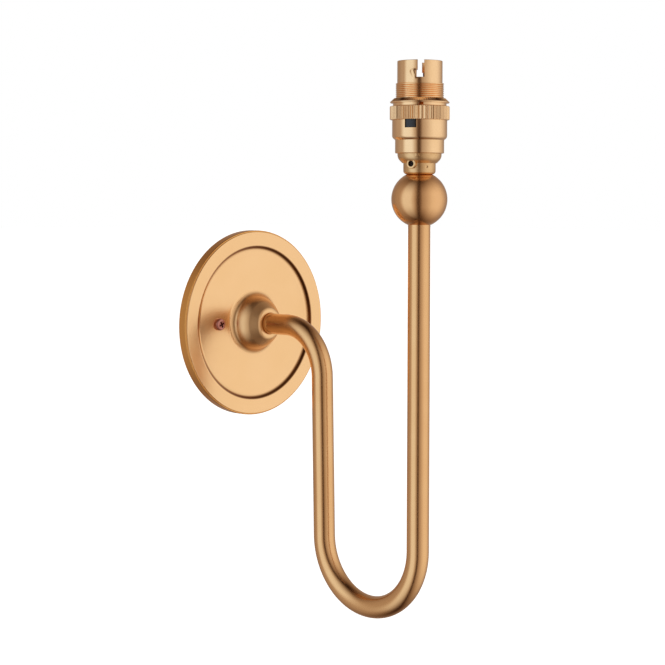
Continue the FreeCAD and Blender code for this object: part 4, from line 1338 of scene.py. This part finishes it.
# %% Finishes for the solids that stay
kept = {"top_nipple": plain_brass, "terminal_pillars": plain_brass, "earth_washer": plain_brass,
        "earth_screw": plain_brass, "lock_washer": zinced, "terminal_screws": zinced}
for node, finish in kept.items():
    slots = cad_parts[node].material_slots
    for slot in slots:
        slot.material = finish
    print(node, "gets", finish.name, "in", len(slots), "slot")

# %% [markdown]
# Light. Satin metal is drawn by what it mirrors, so the studio matters more than the paint. Two tall
# softboxes stand left and right of the camera, and the narrow dark gap between them is the dark line
# down every tube. Their light swells and fades gradually, so no reflection has a hard edge. Each row
# of the list is one such swell: where it begins, where it is complete, and how much light it adds.
# Above and below, the light fades out and turns brown, as it does on the cloths that hang there. The
# studio is painted on the world by direction, and what the camera sees directly is plain white.

# %% Studio
CAMERA_SIDE = 45.046
GAP_LEVEL = 0.09
SWELLS = [                     # bearings from the camera in degrees, plus is to the right
    (-9, -21, 0.42),           # edge of the left box
    (-16, -42, 0.49),          # its even middle
    (-70, -94, -0.50),
    (-100, -140, -0.12),
    (-3, 12, 0.38),            # edge of the right box
    (0, 66, 0.53),             # its even middle
    (85, 155, -0.62),
]
LEFT_BOX = (-16, -42, -94, -70)  # the left box's tint comes in, and goes again
FADE_UP = (95, 15)             # elevations between which the light rises to its full level
FADE_DOWN = (-100, -20)
WARM_GREEN = 1.2               # the weaker the light, the browner it is
WARM_BLUE = 1.35
LEFT_TINT = (0.97, 1.10, 1.25, 1)

world = bpy.data.worlds.new("studio")
bpy.context.scene.world = world
world.use_nodes = True
tree = world.node_tree
tree.nodes.clear()
way = add(tree, "TexCoord").outputs["Generated"]
side = math.radians(CAMERA_SIDE)
to_camera = (-math.sin(side), -math.cos(side), 0)
to_right = (math.cos(side), -math.sin(side), 0)


ahead = add(tree, "VectorMath", {0: way, 1: to_camera}, operation="DOT_PRODUCT").outputs["Value"]
right = add(tree, "VectorMath", {0: way, 1: to_right}, operation="DOT_PRODUCT").outputs["Value"]
up = add(tree, "SeparateXYZ", {0: way}).outputs[2]
bearing = calc(tree, "MULTIPLY", calc(tree, "ARCTAN2", right, ahead), 180 / math.pi)
elevation = calc(tree, "MULTIPLY", calc(tree, "ARCSINE", up), 180 / math.pi)

glow = calc(tree, "ADD", ramp(tree, bearing, *SWELLS[0]), GAP_LEVEL)
for row in SWELLS[1:]:
    glow = calc(tree, "ADD", glow, ramp(tree, bearing, *row))
level = calc(tree, "MULTIPLY", ramp(tree, elevation, *FADE_UP), ramp(tree, elevation, *FADE_DOWN))
glow = calc(tree, "MULTIPLY", glow, level)
green = calc(tree, "POWER", glow, WARM_GREEN)
blue = calc(tree, "POWER", glow, WARM_BLUE)
warm = add(tree, "CombineColor", {0: glow, 1: green, 2: blue}).outputs[0]
left_start = ramp(tree, bearing, *LEFT_BOX[:2])
left_end = ramp(tree, bearing, *LEFT_BOX[2:])
in_left_box = calc(tree, "MULTIPLY", left_start, left_end)
colour = toned(tree, in_left_box, warm, LEFT_TINT, blend_type="MULTIPLY", clamp_factor=False)
lit = add(tree, "Background", {0: colour, 1: 1.0})
seen = add(tree, "Background", {0: (1, 1, 1, 1), 1: 1.0})
ray = add(tree, "LightPath")
pick = add(tree, "MixShader", {0: ray.outputs["Is Camera Ray"], 1: lit.outputs[0], 2: seen.outputs[0]})
add(tree, "OutputWorld", {0: pick.outputs[0]})
print("studio of", len(SWELLS), "swells of light, level in the gap", GAP_LEVEL)

# %% [markdown]
# The floor. The bracket hangs on a wall, so the floor lies well below it. It is pale matt paper. To
# the camera it is lifted to white like the background, and the lamp's soft shadow still falls on it.
# It is left out of mirror reflections, because the real lamp hung in front of cloth.

# %% Floor
FLOOR_BELOW = 140.0
FLOOR_SIZE = 30.0
PAPER = "#F0EEEA"
LIFT = 0.88               # share of the floor's white that doesn't depend on light

bpy.ops.mesh.primitive_plane_add(size=FLOOR_SIZE, location=(0, 0, cad_box[0].z - FLOOR_BELOW * MM))
floor = bpy.context.object
floor.name = "studio_floor"
floor.visible_glossy = False
paper = bpy.data.materials.new("paper_matt_white")
paper.use_nodes = True
tree = paper.node_tree
tree.nodes.clear()
matt = add(tree, "BsdfDiffuse", {0: linear(PAPER)})
ray = add(tree, "LightPath")
lift = calc(tree, "MULTIPLY", ray.outputs["Is Camera Ray"], LIFT)
white = add(tree, "Emission", {0: (1, 1, 1, 1), 1: lift})
both = add(tree, "AddShader", {0: matt.outputs[0], 1: white.outputs[0]})
add(tree, "OutputMaterial", {0: both.outputs[0]})
floor.data.materials.append(paper)
print(f"floor {FLOOR_BELOW:.0f} mm below the arm")

# %% [markdown]
# The camera. The photograph was taken from the room's left at the height of the lampholder's neck, by
# a long lens held level and shifted down, which keeps the uprights upright.

# %% Camera
PICTURE = 665             # pixels across and up
FOCAL_PIXELS = 1750.0
HORIZON_ROW = 208.067
CAMERA_AWAY = 982.304
CAMERA_UP = 74.428
AIM_OUT = 68.763
PITCH = math.radians(-0.398)
ROLL = math.radians(0.237)
SEEN_FROM = 0.05          # metres from the lens
SEEN_TO = 100.0

flat_ahead = -Vector(to_camera)
flat_right = Vector(to_right)
upright = Vector((0, 0, 1))
look = flat_ahead * math.cos(PITCH) + upright * math.sin(PITCH)
top = upright * math.cos(PITCH) - flat_ahead * math.sin(PITCH)
across = flat_right * math.cos(ROLL) + top * math.sin(ROLL)
top = top * math.cos(ROLL) - flat_right * math.sin(ROLL)
stand = (Vector((0, -AIM_OUT, CAMERA_UP)) - flat_ahead * CAMERA_AWAY) * MM

lens = bpy.data.cameras.new("camera")
lens.lens = lens.sensor_width * FOCAL_PIXELS / PICTURE
lens.shift_y = (HORIZON_ROW - PICTURE / 2) / PICTURE
lens.clip_start = SEEN_FROM
lens.clip_end = SEEN_TO
camera = bpy.data.objects.new("camera", lens)
camera.matrix_world = shift(*stand) @ Matrix((across, top, -look)).transposed().to_4x4()
bpy.context.scene.collection.objects.link(camera)
bpy.context.scene.camera = camera
bpy.context.scene.view_settings.view_transform = "Standard"
print(f"camera at {[round(v, 3) for v in stand]}, lens {lens.lens:.1f} mm, shift {lens.shift_y:.3f}")
